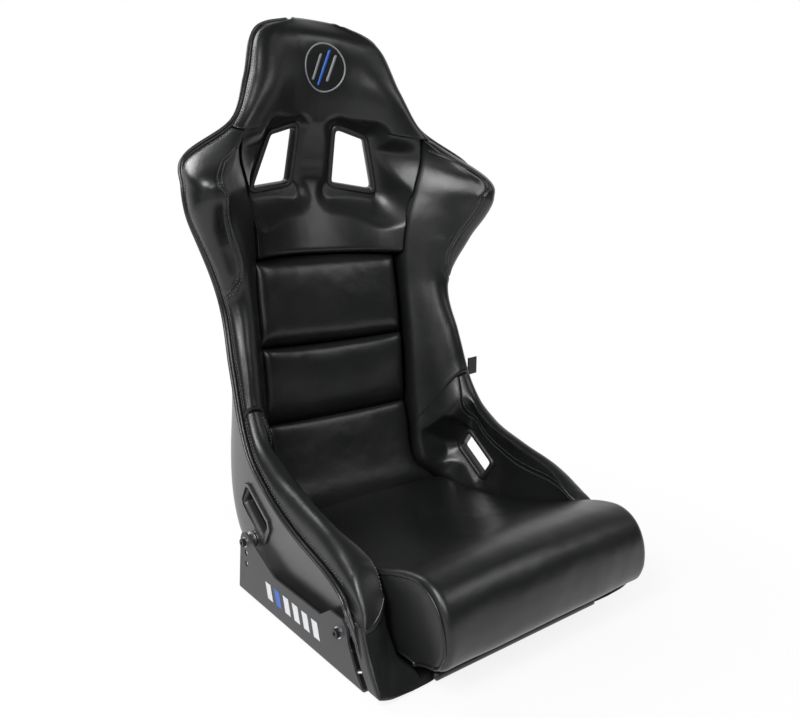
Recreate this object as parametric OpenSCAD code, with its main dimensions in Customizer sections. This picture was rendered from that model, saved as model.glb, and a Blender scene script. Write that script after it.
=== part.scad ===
// Fixed-back racing bucket seat: a moulded shell, foam trim panels in vinyl, harness slot
// bezels and two side brackets. Millimetres, +Z up, the sitter looks along -Y and their left is +X.
// The origin is on the floor, under the middle of the seat.

/* [Shell, seen from the side] */
// Height of the inside floor of the pan above the base
floor_z = 17; // [15:1:26]
// How far the front lip's middle stands behind the front roll's datum
lip_set = 7; // [0:1:12]
// How far the front lip of the pan drops below the floor
lip_drop = 7; // [5:1:9]
// Length of the flat pan floor, front edge to hip curve
pan_l = 310; // [290:5:330]
// Length of the hip curve's first half
hip_low_l = 112; // [106:1:120]
// Length of the hip curve's second half
hip_high_l = 122; // [116:1:130]
// Length of the back from hip curve to the waist
back_l = 275; // [255:5:295]
// Length of the back from the waist to the shoulder wings
wing_rise = 203; // [190:1:220]
// Length from the wings' level to the neck
neck_rise = 105; // [95:1:115]
// Length of the head section above the neck
head_l = 148; // [140:1:160]
// Recline of the back from vertical, in degrees
recline = 10.8; // [8:0.2:14]
// Forward lean of the head section from vertical, in degrees
head_lean = 9; // [4:1:12]

/* [Shell, widths and depths] */
// Moulded wall of the shell
shell_wall = 5; // [4:0.5:7]
// Inside width between the side walls of the pan
pan_w = 466; // [456:2:474]
// Inside width at the waist
waist_w = 446; // [430:2:462]
// Inside width between the tips of the shoulder wings
wing_w = 556; // [530:2:580]
// Inside width at the neck
neck_w = 374; // [356:2:394]
// Inside width of the head section at its lower part
head_w = 284; // [270:2:300]
// Inside width of the head section at its top corners
crown_w = 234; // [222:2:250]
// Depth of the side wall at the front edge of the pan
front_depth = 108; // [100:1:120]
// Depth of the side wall at the middle of the thigh
thigh_depth = 134; // [124:1:146]
// Depth of the side wall round the hip
hip_depth = 178; // [166:1:190]
// Depth of the side wall at the lower back
torso_depth = 104; // [94:1:114]
// Depth of the side wall at the waist
waist_depth = 86; // [78:1:96]
// Depth of the shoulder wings
wing_depth = 132; // [118:1:142]
// Depth of the head section's edge
head_depth = 50; // [42:1:60]

/* [Trim] */
// Foam and vinyl of the back pads, at their middle
pad_t = 36; // [30:1:44]
// Extra crown at the middle of a pad
pad_crown = 5; // [2:0.5:9]
// Thickness where a pad tucks into the channel above or below it
tuck_t = 12; // [9:1:16]
// Thickness where a pad meets the side rolls
side_tuck_t = 27; // [22:1:32]
// Distance from the pan's side wall to the edge of the back pads
pad_inset = 80; // [74:1:86]
// Thickness of the head cover between the shoulder slots
saddle_t = 8; // [6:1:14]
// Thickness of the head cover at head height
head_t = 43; // [36:1:50]
// Rise of the thigh roll above the shell's edge
thigh_rise = 46; // [36:1:54]
// Rise of the torso roll above the shell's edge
torso_rise = 24; // [18:1:30]
// Rise of the wing's ridge above the shell's edge
wing_rise_t = 56; // [46:1:64]
// How far the thigh roll's nose stands forward of the shell's front edge
nose_reach = 28; // [20:1:34]
// Distance of the roll's ridge inboard of the shell's edge
ridge_in = 34; // [28:1:40]
// Outward bulge of the wing's side panel
wing_bulge = 14; // [6:1:20]
// Clear gap between a hard piece and what it fits on
fit_gap = 0.5; // [0.3:0.1:0.7]
// Glue line between the trim panels' foam and the shell
foam_gap = 1.7; // [1.4:0.1:2]
// Gap between neighbouring trim panels at a seam
seam_gap = 1.2; // [0.8:0.2:2.4]
// Thickness of the edge trim round the shell
trim_t = 2.5; // [2:0.5:4]
// How far the edge trim reaches down the outside of the shell
trim_reach = 11; // [8:1:14]

/* [Seat cushion] */
// Distance from the pan's side wall to the side of the seat cushion
cushion_inset = 40; // [37:1:46]
// Distance from the pan's front edge to the back edge of the cushion
cushion_l = 400; // [394:1:401]
// Height of the cushion's top at the back, above the base
cushion_back_z = 86; // [78:1:94]
// Height of the cushion's front roll above the base
roll_z = 156; // [146:1:166]
// How far the front roll stands in front of the pan
roll_reach = 60; // [50:1:70]
// Height of the underside of the front roll above the base
roll_under_z = 48; // [42:1:56]
// Radius of the cushion's sewn side edges
cushion_edge_r = 11; // [7:1:16]
// Thickness of the hook-and-loop strips under the cushion
strip_t = 2; // [1.5:0.5:3]
// Width of a hook-and-loop strip
strip_w = 50; // [40:1:60]
// Length of a hook-and-loop strip
strip_l = 230; // [180:5:260]

/* [Harness slots] */
// Height of the shoulder slots' lower edge above the base
shoulder_slot_z = 633; // [626:1:640]
// Height of the shoulder slot
shoulder_slot_h = 94; // [84:1:102]
// Distance between the inner edges of the shoulder slots
shoulder_slot_gap = 80; // [72:2:90]
// Width of the shoulder slot along its lower edge
shoulder_slot_w = 82; // [76:1:88]
// Width of the shoulder slot along its upper edge
shoulder_slot_top_w = 30; // [24:1:36]
// Distance of the shoulder bezel's face in front of the shell, at the slot's middle
shoulder_slot_face = 22; // [20:1:26]
// Distance of the lap slot's middle behind the pan's front edge
lap_slot_y = 332; // [326:1:336]
// Height of the lap slot's middle above the base
lap_slot_z = 140; // [136:1:144]
// Length of the lap slot's opening
lap_slot_l = 72; // [66:1:78]
// Width of the lap slot's opening
lap_slot_w = 38; // [32:1:42]
// Slope of the lap slot, in degrees
lap_slot_slope = 36; // [32:1:40]
// Wall of the bezels' liners
bezel_wall = 3; // [2.5:0.5:4]
// Width of the bezels' flanges
bezel_flange_w = 9; // [7:1:11]
// Thickness of the bezels' flanges
bezel_flange_t = 4; // [3:0.5:5]

/* [Side brackets] */
// Distance from the pan's side wall to the outer face of the bracket
bracket_out = 10; // [9.5:0.5:16]
// Thickness of the bracket plate
plate_t = 3; // [2.5:0.5:4]
// Length of the bracket along the floor
bracket_l = 340; // [320:5:350]
// Width of the bracket's foot flange
foot_w = 40; // [34:1:44]
// Height of the bracket's long top edge above the base
plate_z = 64; // [60:1:68]
// Distance of the front bolt behind the pan's front edge
front_bolt_y = 91; // [87:1:97]
// Height of the front bolt above the base
front_bolt_z = 60; // [58:1:64]
// Distance of the rear bolt behind the pan's front edge
rear_bolt_y = 352; // [347:1:357]
// Height of the rear bolt above the base
rear_bolt_z = 88; // [84:1:92]
// Pitch of the three height holes at the rear
height_pitch = 18; // [16:1:20]
// Diameter of the mounting bolts
bolt_d = 8; // [8:1:10]
// Clearance round a bolt in its hole
bolt_clear = 0.5; // [0.3:0.1:0.8]
// Distance between the foot's front and rear mounting holes
foot_pitch = 270; // [250:5:280]

/* [Hidden] */

VINYL = [0.07, 0.07, 0.075];
GELCOAT = [0.20, 0.20, 0.21];
PLASTIC = [0.10, 0.10, 0.11];
STEEL = [0.24, 0.24, 0.25];
ZINC = [0.62, 0.63, 0.65];

// ---- smooth laws: a law is a list of [station, value] pairs, blended with cubic pieces ----

function mix(a, b, u) = a + (b - a) * u;
function piece(k, t, i = 0) = (i >= len(k) - 2 || t < k[i + 1][0]) ? i : piece(k, t, i + 1);
function tilt(k, i) = let (a = max(i - 1, 0), b = min(i + 1, len(k) - 1))
    (k[b][1] - k[a][1]) / (k[b][0] - k[a][0]);
function law(k, t) = let (i = piece(k, t), h = k[i + 1][0] - k[i][0], u = (t - k[i][0]) / h,
        u2 = u * u, u3 = u2 * u)
    k[i][1] * (2 * u3 - 3 * u2 + 1) + tilt(k, i) * h * (u3 - 2 * u2 + u)
    + k[i + 1][1] * (3 * u2 - 2 * u3) + tilt(k, i + 1) * h * (u3 - u2);
// The same curve drawn closer to its two handles
function pulled(p, u) = let (w = 1 - u, a = w * w * w, b = u * u * u)
    a * w * w * p[0] + a * u * (5 * w + 10 * u) * p[1] + b * w * (10 * w + 5 * u) * p[2]
    + b * u * u * p[3];
function bezier(p, u) = let (w = 1 - u)
    w * w * w * p[0] + 3 * w * w * u * p[1] + 3 * w * u * u * p[2] + u * u * u * p[3];
function unit(v) = v / norm(v);
function heading(a) = [cos(a), sin(a)];
function cross2(a, b) = a[0] * b[1] - a[1] * b[0];

// ---- the shell as a loft: stations 0 (front edge of the pan) to 14 (top of the head) ----

LAST = 14;
// The spine is walked from the front edge: each leg has a length and a heading from +Y
upright = 90 - recline;
head_up = 90 + head_lean;
front_l = pan_l * 0.29 - lip_set;
legs = [[front_l, asin(lip_drop / front_l)], [pan_l * 0.355, 0], [pan_l * 0.355, 1],
    [hip_low_l, 24], [hip_high_l, 64], [back_l * 0.48, upright - 1.5], [back_l * 0.52, upright],
    [wing_rise * 0.58, upright + 4.5], [wing_rise * 0.42, upright + 7],
    [neck_rise * 0.57, upright + 1], [neck_rise * 0.43, head_up - 10], [head_l * 0.37, head_up + 1],
    [head_l * 0.42, head_up - 2], [head_l * 0.21, head_up - 2]];
function walk(n) = n == 0 ? [lip_set, floor_z - lip_drop]
    : walk(n - 1) + legs[n - 1][0] * heading(legs[n - 1][1]);
spine_law = [for (n = [0 : LAST]) [n, walk(n)]];

// Heading of each section plane, from the spine towards the shell's edge
aim_law = [[0, 53], [1, 71], [2, 84], [3, 97], [4, 114], [5, 128], [6, 150], [7, 177], [8, 191],
    [9, 195], [10, 199], [11, 197], [12, 190], [13, 190], [14, 200]];
depth_law = [[0, front_depth], [1, mix(front_depth, thigh_depth, 0.2)], [2, thigh_depth],
    [3, mix(thigh_depth, hip_depth, 0.8)], [4, hip_depth], [5, mix(hip_depth, torso_depth, 0.45)],
    [6, torso_depth], [7, waist_depth], [8, mix(waist_depth, wing_depth, 0.66)], [9, wing_depth],
    [10, wing_depth], [11, mix(wing_depth, head_depth, 0.35)],
    [12, mix(wing_depth, head_depth, 0.85)], [13, head_depth - 14], [14, head_depth - 26]];
half_law = [[0, pan_w / 2 + 5], [0.35, pan_w / 2], [3, pan_w / 2], [4, pan_w / 2],
    [5, mix(pan_w, waist_w, 0.35) / 2], [6, mix(pan_w, waist_w, 0.75) / 2], [7, waist_w / 2],
    [8, mix(waist_w, wing_w, 0.6) / 2],
    [8.6, mix(waist_w, wing_w, 0.9) / 2], [9.2, wing_w / 2], [10, wing_w / 2 - 2],
    [11, neck_w / 2], [12, head_w / 2], [13, crown_w / 2], [13.6, crown_w / 2 - 26],
    [14, crown_w / 2 - 66]];
// Share of the half width that the section's floor keeps flat
flat_law = [[0, 0.99], [0.5, 0.97], [4.4, 0.95], [5, 0.9], [6, 0.64], [7, 0.56], [9, 0.50],
    [11, 0.55], [14, 0.60]];
// How square the lower corner is: 0 is round, 1 is nearly sharp
square_law = [[0, 1], [4, 1], [5, 0.7], [6, 0.1], [7, 0], [14, 0]];
// Inset of the wall's lower handle: how much the side wall leans outwards
lean_law = [[0, 0], [0.4, 9], [3, 14], [4.6, 10], [6, 24], [7, 30], [9, 58], [11, 40], [12, 18],
    [14, 10]];
// Height of that handle, as a share of the depth
foot_law = [[0, 0.03], [0.5, 0.12], [4.4, 0.12], [6, 0.3], [7, 0.36], [9, 0.5], [11, 0.5], [14, 0.4]];

// A station: [spine point, section heading, half width, depth, section's four control points]
function station(t) = let (w = law(half_law, t), d = law(depth_law, t))
    [law(spine_law, t), heading(law(aim_law, t)), w, d,
     [[0, 0], [w * law(flat_law, t), 0], [w - law(lean_law, t), d * law(foot_law, t)], [w, d]],
     law(square_law, t)];
// A point of a station's plane: x across, v up from the spine
function place(st, p) = [p[0], st[0][0] + st[1][0] * p[1], st[0][1] + st[1][1] * p[1]];
function wall(st, q) = let (a = abs(q), p = mix(bezier(st[4], a), pulled(st[4], a), st[5]))
    [q < 0 ? -p[0] : p[0], p[1]];
// The share q of the section at which the wall is x from the middle
function share_at(st, x, a = 0, b = 1, n = 14) = let (m = (a + b) / 2)
    n == 0 ? m : wall(st, m)[0] < x ? share_at(st, x, m, b, n - 1) : share_at(st, x, a, m, n - 1);
function share_up(st, v, a = 0, b = 1, n = 14) = let (m = (a + b) / 2)
    n == 0 ? m : wall(st, m)[1] < v ? share_up(st, v, m, b, n - 1) : share_up(st, v, a, m, n - 1);
// The station whose plane holds a point of the side view
function station_of(p, a = 0, b = 6, n = 18) = let (m = (a + b) / 2, st = station(m))
    n == 0 ? m : cross2(p - st[0], st[1]) > 0 ? station_of(p, m, b, n - 1)
    : station_of(p, a, m, n - 1);
// Inside face of the side wall at a point of the side view, as a distance from the middle
function wall_x(p) = let (st = station(station_of(p)), v = (p - st[0]) * st[1])
    wall(st, share_up(st, v))[0];
// Stations' spacing along the spine, in millimetres per unit of t
function pace(t) = norm(law(spine_law, t + 0.02) - law(spine_law, t - 0.02)) / 0.04;

// ---- grids of points, offsets and closed solids ----

function steps(a, b, n) = [for (i = [0 : n]) mix(a, b, i / n)];
function eased(a, b, n) = [for (i = [0 : n]) mix(a, b, (1 - cos(180 * i / n)) / 2)];
function grid_normals(g) = let (m = len(g) - 1, n = len(g[0]) - 1)
    [for (i = [0 : m]) [for (j = [0 : n])
        unit(cross(g[i][min(j + 1, n)] - g[i][max(j - 1, 0)], g[min(i + 1, m)][j] - g[max(i - 1, 0)][j]))]];
function lifted(g, amount) = let (nn = grid_normals(g))
    [for (i = [0 : len(g) - 1]) [for (j = [0 : len(g[0]) - 1]) g[i][j] + amount * nn[i][j]]];

// A closed solid between a top grid and a bottom grid of the same size
module slab(top, bottom) {
    m = len(top);
    n = len(top[0]);
    half = m * n;
    points = concat([for (row = top) each row], [for (row = bottom) each row]);
    upper = [for (i = [0 : m - 2]) for (j = [0 : n - 2]) let (a = i * n + j)
        each [[a, a + n, a + 1], [a + 1, a + n, a + n + 1]]];
    lower = [for (f = upper) [f[0] + half, f[2] + half, f[1] + half]];
    border = concat([for (j = [0 : n - 1]) j], [for (i = [1 : m - 1]) i * n + n - 1],
        [for (j = [n - 2 : -1 : 0]) (m - 1) * n + j], [for (i = [m - 2 : -1 : 1]) i * n]);
    count = len(border);
    sides = [for (k = [0 : count - 1]) let (a = border[k], b = border[(k + 1) % count])
        each [[a, b, a + half], [b, b + half, a + half]]];
    polyhedron(points, concat(upper, lower, sides));
}

// A closed solid through rings of points, with flat ends or joined into a loop
module skin(rings, loop = false) {
    m = len(rings);
    n = len(rings[0]);
    points = [for (ring = rings) each ring];
    sides = [for (i = [0 : loop ? m - 1 : m - 2]) for (j = [0 : n - 1])
        let (a = i * n, b = (i + 1) % m * n, k = (j + 1) % n)
        each [[a + j, a + k, b + j], [a + k, b + k, b + j]]];
    first = [for (j = [n - 1 : -1 : 0]) j];
    last = [for (j = [0 : n - 1]) (m - 1) * n + j];
    polyhedron(points, loop ? sides : concat([first], sides, [last]));
}

// ---- where everything stands ----

cushion_w = pan_w - 2 * cushion_inset;
pad_half_w = pan_w / 2 - pad_inset;
ring_proud = 1.3;
rear_y = max([for (t = steps(6, LAST, 32)) law(spine_law, t)[0]]) + shell_wall + ring_proud;
front_y = -roll_reach * 0.95;
// Moves the seat so that the origin is under the middle of its length
shift_y = -(rear_y + front_y) / 2;
module seated() { translate([0, shift_y, 0]) children(); }
module left_and_right() {
    children();
    mirror([1, 0, 0]) children();
}

// ---- shell ----

SHELL_COLS = 20;
shell_ts = concat(steps(0, 1, 3), steps(1.6, 2.8, 2), steps(3.2, 5.6, 8), steps(6.1, 9.1, 6),
    steps(9.55, 13, 8), [13.3, 13.55, 13.75, 13.9, 14]);
shell_inside = [for (t = shell_ts) let (st = station(t))
    [for (q = steps(-1, 1, SHELL_COLS)) place(st, wall(st, q))]];

// ---- slots through the trim and the shell ----

// A convex outline, anticlockwise, with each side moved out by g
function grown(p, g) = let (n = len(p))
    [for (i = [0 : n - 1])
        let (a = unit(p[i] - p[(i + n - 1) % n]), b = unit(p[(i + 1) % n] - p[i]),
            na = [a[1], -a[0]], nb = [b[1], -b[0]])
        p[i] + g * (na + nb) / (1 + na * nb)];
module frame_2d(outline, inner, outer) {
    difference() {
        polygon(grown(outline, outer));
        polygon(grown(outline, inner));
    }
}
// A layer that follows the shell, between two distances in front of its inside face
module shell_layer(t0, t1, m, q0, q1, n, near, far) {
    g = [for (t = steps(t0, t1, m)) let (st = station(t))
        [for (q = steps(q0, q1, n)) place(st, wall(st, q))]];
    slab(lifted(g, far), lifted(g, near));
}

// Shoulder slot: its face is a plane turned inwards and down, in front of the shell
slot_turn = 19;
slot_nod = 14.8;
// How far the slot's tools reach behind and in front of that face
slot_back = 100;
slot_front = 60;
slot_mid_z = shoulder_slot_z + shoulder_slot_h / 2;
slot_station = 9.55;
slot_mid = [shoulder_slot_gap / 2 + shoulder_slot_w / 2,
    law(spine_law, slot_station)[0] - shoulder_slot_face, slot_mid_z];
shoulder_outline = let (h = shoulder_slot_h / 2, w = shoulder_slot_w / 2, c = 6)
    [[-w + c, -h], [w - c, -h - 9], [w + 2, -h + 1], [w - 26, h - 20],
     [-w + shoulder_slot_top_w, h], [-w + c, h], [-w, h - c], [-w, -h + c]];
// Stands the children, drawn in X and Y, in the plane of the left slot, facing the sitter
module at_shoulder_slot() {
    translate(slot_mid) rotate([0, 0, -slot_turn]) rotate([90 + slot_nod, 0, 0]) children();
}
// What the left bezel takes out of the cover and the shell
module shoulder_slot_cut() {
    at_shoulder_slot() {
        translate([0, 0, -slot_back]) linear_extrude(slot_back + slot_front)
            polygon(grown(shoulder_outline, bezel_wall + fit_gap));
        translate([0, 0, -fit_gap]) linear_extrude(slot_front)
            polygon(grown(shoulder_outline, bezel_flange_w + fit_gap));
    }
}

// Lap slot: a slanted slot straight through the side wall
lap_mid = [lap_slot_y, lap_slot_z];
lap_wall_x = wall_x(lap_mid);
lap_depth = 160;
lap_outline = let (a = lap_slot_l / 2, b = lap_slot_w / 2, c = 5)
    [[-a + c, -b], [a - c, -b], [a, -b + c], [a, b - c], [a - c, b], [-a + c, b], [-a, b - c],
     [-a, -b + c]];
// Draws an outline on the left side wall and carries it straight through, along X
module through_lap_slot() {
    translate([lap_wall_x - lap_depth * 0.75, lap_slot_y, lap_slot_z]) rotate([90, 0, 90])
        rotate([0, 0, lap_slot_slope]) linear_extrude(lap_depth) children();
}
module lap_slot_cut() {
    through_lap_slot() polygon(grown(lap_outline, bezel_wall + fit_gap));
}

// ---- bolts ----

bolt_places = [[front_bolt_y, front_bolt_z], [rear_bolt_y, rear_bolt_z]];
plate_x = pan_w / 2 + bracket_out;
hole_d = bolt_d + 2 * bolt_clear;
insert_d = bolt_d * 2;
insert_flange_d = bolt_d * 3.4;
insert_flange_t = 2.5;
washer_t = 1.6;
washer_d = bolt_d * 2;
head_h = bolt_d * 0.7;
head_d = bolt_d * 1.6;
// Lies the children, raised along Z, on the left side, facing outwards
module at_side(x, p) {
    translate([x, p[0], p[1]]) rotate([0, 90, 0]) children();
}
// The insert's flange stands off the curved wall by its bed of resin
resin_bed = 2;
function insert_face_x(p) = wall_x(p) + shell_wall + resin_bed + insert_flange_t;

module shell() {
    color(GELCOAT) seated() difference() {
        slab(shell_inside, lifted(shell_inside, -shell_wall));
        left_and_right() {
            shoulder_slot_cut();
            lap_slot_cut();
            for (p = bolt_places)
                at_side(wall_x(p) - 30, p) cylinder(h = 60, d = insert_d + 2 * bolt_clear, $fn = 32);
        }
    }
}

// ---- trim panels: rolls along the shell's edge ----

// Inner edge of the rolls, where they meet the cushion, the pads and the head cover
base_law = [[0, cushion_w / 2 + 3], [3.3, cushion_w / 2 + 3], [3.85, cushion_w / 2 + 3],
    [4.3, pad_half_w - 2], [5, pad_half_w], [7, pad_half_w], [7.6, pad_half_w - 2],
    [8.3, pad_half_w + 3], [9, pad_half_w + 15], [10, pad_half_w + 27], [11, neck_w / 2 - 10]];
// Height of that edge over the spine
tuck_law = [[0, 3], [3, 6], [3.7, 36], [4.3, 56], [5, 60], [6, 60], [7, 62], [7.6, 70], [8.3, 84],
    [9, 92], [10, 108], [11, 115]];
ridge_in_law = [[0, ridge_in * 1.1], [0.4, ridge_in * 1.25], [1.2, ridge_in * 0.85],
    [3, ridge_in], [5, ridge_in * 0.7], [7, ridge_in * 0.85],
    [8, ridge_in * 1.3], [9, ridge_in * 1.4], [10, ridge_in * 1.15], [10.6, ridge_in * 0.7],
    [11, ridge_in * 0.5], [12, ridge_in * 0.8], [13, ridge_in * 0.7], [14, ridge_in * 0.6]];
rise_law = [[0, thigh_rise * 0.5], [0.3, thigh_rise * 0.85], [0.8, thigh_rise * 0.98],
    [2, thigh_rise * 0.86],
    [3, thigh_rise * 0.58], [4, thigh_rise * 0.42], [5, torso_rise * 0.85], [6, torso_rise],
    [7, torso_rise], [8, torso_rise], [8.6, wing_rise_t * 0.62], [9.2, wing_rise_t * 0.88],
    [10, wing_rise_t],
    [10.6, wing_rise_t * 0.5], [11, 14], [12, 26], [13, 20], [14, 12]];
swell_law = [[0, 14], [0.3, 20], [2, 17], [3.5, 13], [5, 8], [7, 8], [8, 14], [8.8, 30],
    [9.4, 36], [10, 34], [10.6, 14], [11, 8], [14, 6]];
bulge_law = [[0, 3], [0.3, 7], [2, 6], [4, 2], [7, 2], [8, wing_bulge * 0.5],
    [8.8, wing_bulge * 1.1], [9.4, wing_bulge * 1.2], [10, wing_bulge], [11, 4], [12, 5], [14, 4]];
// Handles of the roll's inner face, as shares of the way from its foot to its ridge
inner_x1_law = [[0, 0.05], [4, 0.1], [5, 0.3], [7, 0.3], [9, 0.25], [11, 0.3]];
inner_v1_law = [[0, 0.5], [4, 0.45], [5, 0.2], [7, 0.25], [9, 0.35], [11, 0.3]];
inner_x2_law = [[0, 0.2], [4, 0.3], [5, 0.5], [7, 0.5], [9, 0.65], [11, 0.6]];
inner_v2_law = [[0, 0.98], [4, 0.95], [7, 0.9], [9, 0.75], [11, 0.8]];

// How far the roll's upper part stands forward of the shell's front edge, as a rounded nose
nose_law = [[0, nose_reach * 0.8], [0.25, nose_reach], [0.6, nose_reach * 0.6], [1.1, nose_reach * 0.15],
    [1.8, 0], [14, 0]];
function nosed(t, st, p) = let (h = (p[1] - st[3] * 0.6) / (st[3] * 0.4 + law(rise_law, t)),
        k = min(max(h, 0), 1))
    place(st, p) - [0, law(nose_law, t) * k * k * (3 - 2 * k), 0];
// How far the roll's inner face is hollowed towards the shell
hollow_law = [[0, 3], [1.2, 4], [2, 12], [2.7, 28], [3.7, 30], [4.3, 15], [5, 2], [6, 0], [14, 0]];

function ridge_point(t, st) = [st[2] - law(ridge_in_law, t), st[3] + law(rise_law, t)];
// Direction of the wall where it reaches its edge, in the station's plane
function edge_run(st) = unit(st[4][3] - st[4][2]);
function edge_top(st) = let (r = edge_run(st))
    st[4][3] + (trim_t + 3 * fit_gap) * r - fit_gap * [r[1], -r[0]];
// The roll's side panel, from its ridge over to the shell's edge
function side_curve(t, st) = let (r = ridge_point(t, st), s = law(swell_law, t),
        e = edge_top(st), b = law(bulge_law, t))
    [r, [mix(r[0], e[0], 0.5), r[1] + s], [e[0] + b, mix(e[1], r[1], 0.75) + s * 0.5], e];
// The roll's inner face, from its foot up to its ridge
function inner_curve(t, st) = let (r = ridge_point(t, st), f = [law(base_law, t), law(tuck_law, t)],
        out = law(hollow_law, t))
    [f, [mix(f[0], r[0], law(inner_x1_law, t)) + out, mix(f[1], r[1], law(inner_v1_law, t))],
     [mix(f[0], r[0], law(inner_x2_law, t)) + out, mix(f[1], r[1], law(inner_v2_law, t))], r];

ROLL_COLS = 6;
// Where the seam along the ridge meets the shell, as a share of the section
function seam_share(t, st) = share_up(st, st[3] * 0.92);
// Trim's face across a roll: part 0 is the inner face, 1 the side over the edge, 2 is both
function over_row(t, st, part) = let (a = inner_curve(t, st), b = side_curve(t, st),
        g = part == 2 ? 0 : seam_gap / st[3])
    [for (p = concat(part == 1 ? [] : [for (u = steps(0, 1 - g, ROLL_COLS)) bezier(a, u)],
        part == 0 ? [] : [for (j = [part == 1 ? 0 : 1 : ROLL_COLS])
            bezier(b, mix(part == 1 ? g * 2 : 0, 1, j / ROLL_COLS))])) nosed(t, st, p)];
function under_row(t, st, part) = let (g = seam_gap / st[3],
        q0 = part == 1 ? seam_share(t, st) + g : share_at(st, law(base_law, t)),
        q1 = part == 0 ? seam_share(t, st) - g : 1)
    [for (u = steps(q0, q1, (part == 2 ? 2 : 1) * ROLL_COLS)) place(st, wall(st, u))];
// Draws the ends of a roll in a little, towards the shell
function end_share(i, m) = let (e = min(i, m - i)) e == 0 ? 0.9 : e == 1 ? 0.975 : 1;
// Stations of a roll's rows, closer together at its ends
function roll_ts(t0, t1, m) = let (a = t0 + seam_gap / 2 / pace(t0), b = t1 - seam_gap / 2 / pace(t1),
        da = 7 / pace(t0))
    concat([a, a + da * 0.3], steps(a + da, b - da, m - 4), [b - da * 0.3, b]);
module roll(t0, t1, m, part) {
    ts = roll_ts(t0, t1, m);
    under = lifted([for (t = ts) under_row(t, station(t), part)], foam_gap);
    over = [for (t = ts) over_row(t, station(t), part)];
    slab([for (i = [0 : m]) [for (j = [0 : len(under[0]) - 1])
        mix(under[i][j], over[i][j], end_share(i, m))]], under);
}

THIGH_END = 4.9;
PANEL_ROWS = 20;
BOLSTER_ROWS = 23;
WING_END = 10.9;

module thigh_roll() {
    difference() {
        roll(0, THIGH_END, 17, 1);
        lap_slot_cut();
    }
}
module side_panel() {
    difference() {
        roll(0, THIGH_END, PANEL_ROWS, 0);
        lap_slot_cut();
    }
}
module thigh_bolster_left() { color(VINYL) seated() thigh_roll(); }
module thigh_bolster_right() { color(VINYL) seated() mirror([1, 0, 0]) thigh_roll(); }
module side_panel_left() { color(VINYL) seated() side_panel(); }
module side_panel_right() { color(VINYL) seated() mirror([1, 0, 0]) side_panel(); }
// One bolster runs up from the waist into the shoulder wing
module side_bolster_left() { color(VINYL) seated() roll(THIGH_END, WING_END, BOLSTER_ROWS, 2); }
module side_bolster_right() {
    color(VINYL) seated() mirror([1, 0, 0]) roll(THIGH_END, WING_END, BOLSTER_ROWS, 2);
}

// ---- trim panels: pads on the back ----

// Full in the middle and drawn down at the seam: 1 to 0 as e goes from 0 to 1
function pillow(e) = pow(max(1 - pow(e, 9), 0), 0.45);
module pad(t0, t1, m, n) {
    a = t0 + seam_gap / 2 / pace(t0);
    b = t1 - seam_gap / 2 / pace(t1);
    us = eased(-1, 1, n);
    vs = eased(-1, 1, m);
    rows = [for (v = vs) let (t = mix(a, b, (v + 1) / 2), st = station(t),
            q = share_at(st, law(base_law, t) - seam_gap))
        [for (u = us)
            let (side_t = side_tuck_t + (pad_t - side_tuck_t) * pillow(abs(u)),
                thick = mix(tuck_t, side_t, pillow(abs(v))) + pad_crown * (1 - u * u) * (1 - v * v),
                p = wall(st, u * q), run = unit(wall(st, u * q + 0.01) - wall(st, u * q - 0.01)),
                up = [-run[1], run[0]])
            [place(st, p + foam_gap * up), place(st, p + thick * up)]]];
    slab([for (row = rows) [for (c = row) c[1]]], [for (row = rows) [for (c = row) c[0]]]);
}
PAD_BREAKS = [4.15, 5.33, 6.33, 7.55];
PAD_ROWS = 7;
PAD_COLS = 10;
module back_pad_lower() {
    color(VINYL) seated() pad(PAD_BREAKS[0], PAD_BREAKS[1], PAD_ROWS, PAD_COLS);
}
module back_pad_middle() {
    color(VINYL) seated() pad(PAD_BREAKS[1], PAD_BREAKS[2], PAD_ROWS, PAD_COLS);
}
module back_pad_upper() {
    color(VINYL) seated() pad(PAD_BREAKS[2], PAD_BREAKS[3], PAD_ROWS, PAD_COLS);
}

// ---- head cover: one panel from the upper pad over the shoulder slots to the top ----

cover_t_law = [[7.5, pad_t - 4], [8.2, pad_t * 0.6], [9.1, saddle_t], [9.8, saddle_t * 1.5],
    [11, head_t], [12.5, head_t], [13.4, head_t * 0.9], [14, head_t * 0.6]];
COVER_COLS = 6;
COVER_EDGE = 3;
// Below the neck the cover ends at the wings' seam, above it wraps over the shell's edge
function cover_row(t, st) = let (c = law(cover_t_law, t))
    t < WING_END
    ? let (x = law(base_law, t) - seam_gap, v = law(tuck_law, t), k = min(20, v * 0.2),
            s = min(max((t - 10) / (WING_END - 10), 0), 1), f = s * s * (3 - 2 * s),
            g = [[0, c], [x * mix(0.35, 0.5, f), c], [x * 0.7, mix(c, v, mix(0.3, 0.85, f))], [x - 3, v]])
        concat([for (u = steps(0, 1, COVER_COLS)) bezier(g, u)],
            [for (j = [1 : COVER_EDGE]) [x - 3 + 3 * j / COVER_EDGE, v - k * j / COVER_EDGE * 0.6]])
    : let (r = ridge_point(t, st), s = side_curve(t, st),
            g = [[0, c], [r[0] * 0.5, c], [r[0] * 0.72, mix(c, r[1], 0.9)], r])
        concat([for (u = steps(0, 1, COVER_COLS)) bezier(g, u)],
            [for (j = [1 : COVER_EDGE]) bezier(s, j / COVER_EDGE)]);
function cover_under(t, st) = let (n = COVER_COLS + COVER_EDGE,
        q = t < WING_END ? share_at(st, law(base_law, t) - seam_gap) : 1)
    [for (j = [0 : n]) wall(st, q * j / n)];
function both_sides(row) = let (n = len(row) - 1)
    concat([for (j = [n : -1 : 1]) [-row[j][0], row[j][1]]], row);
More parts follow.
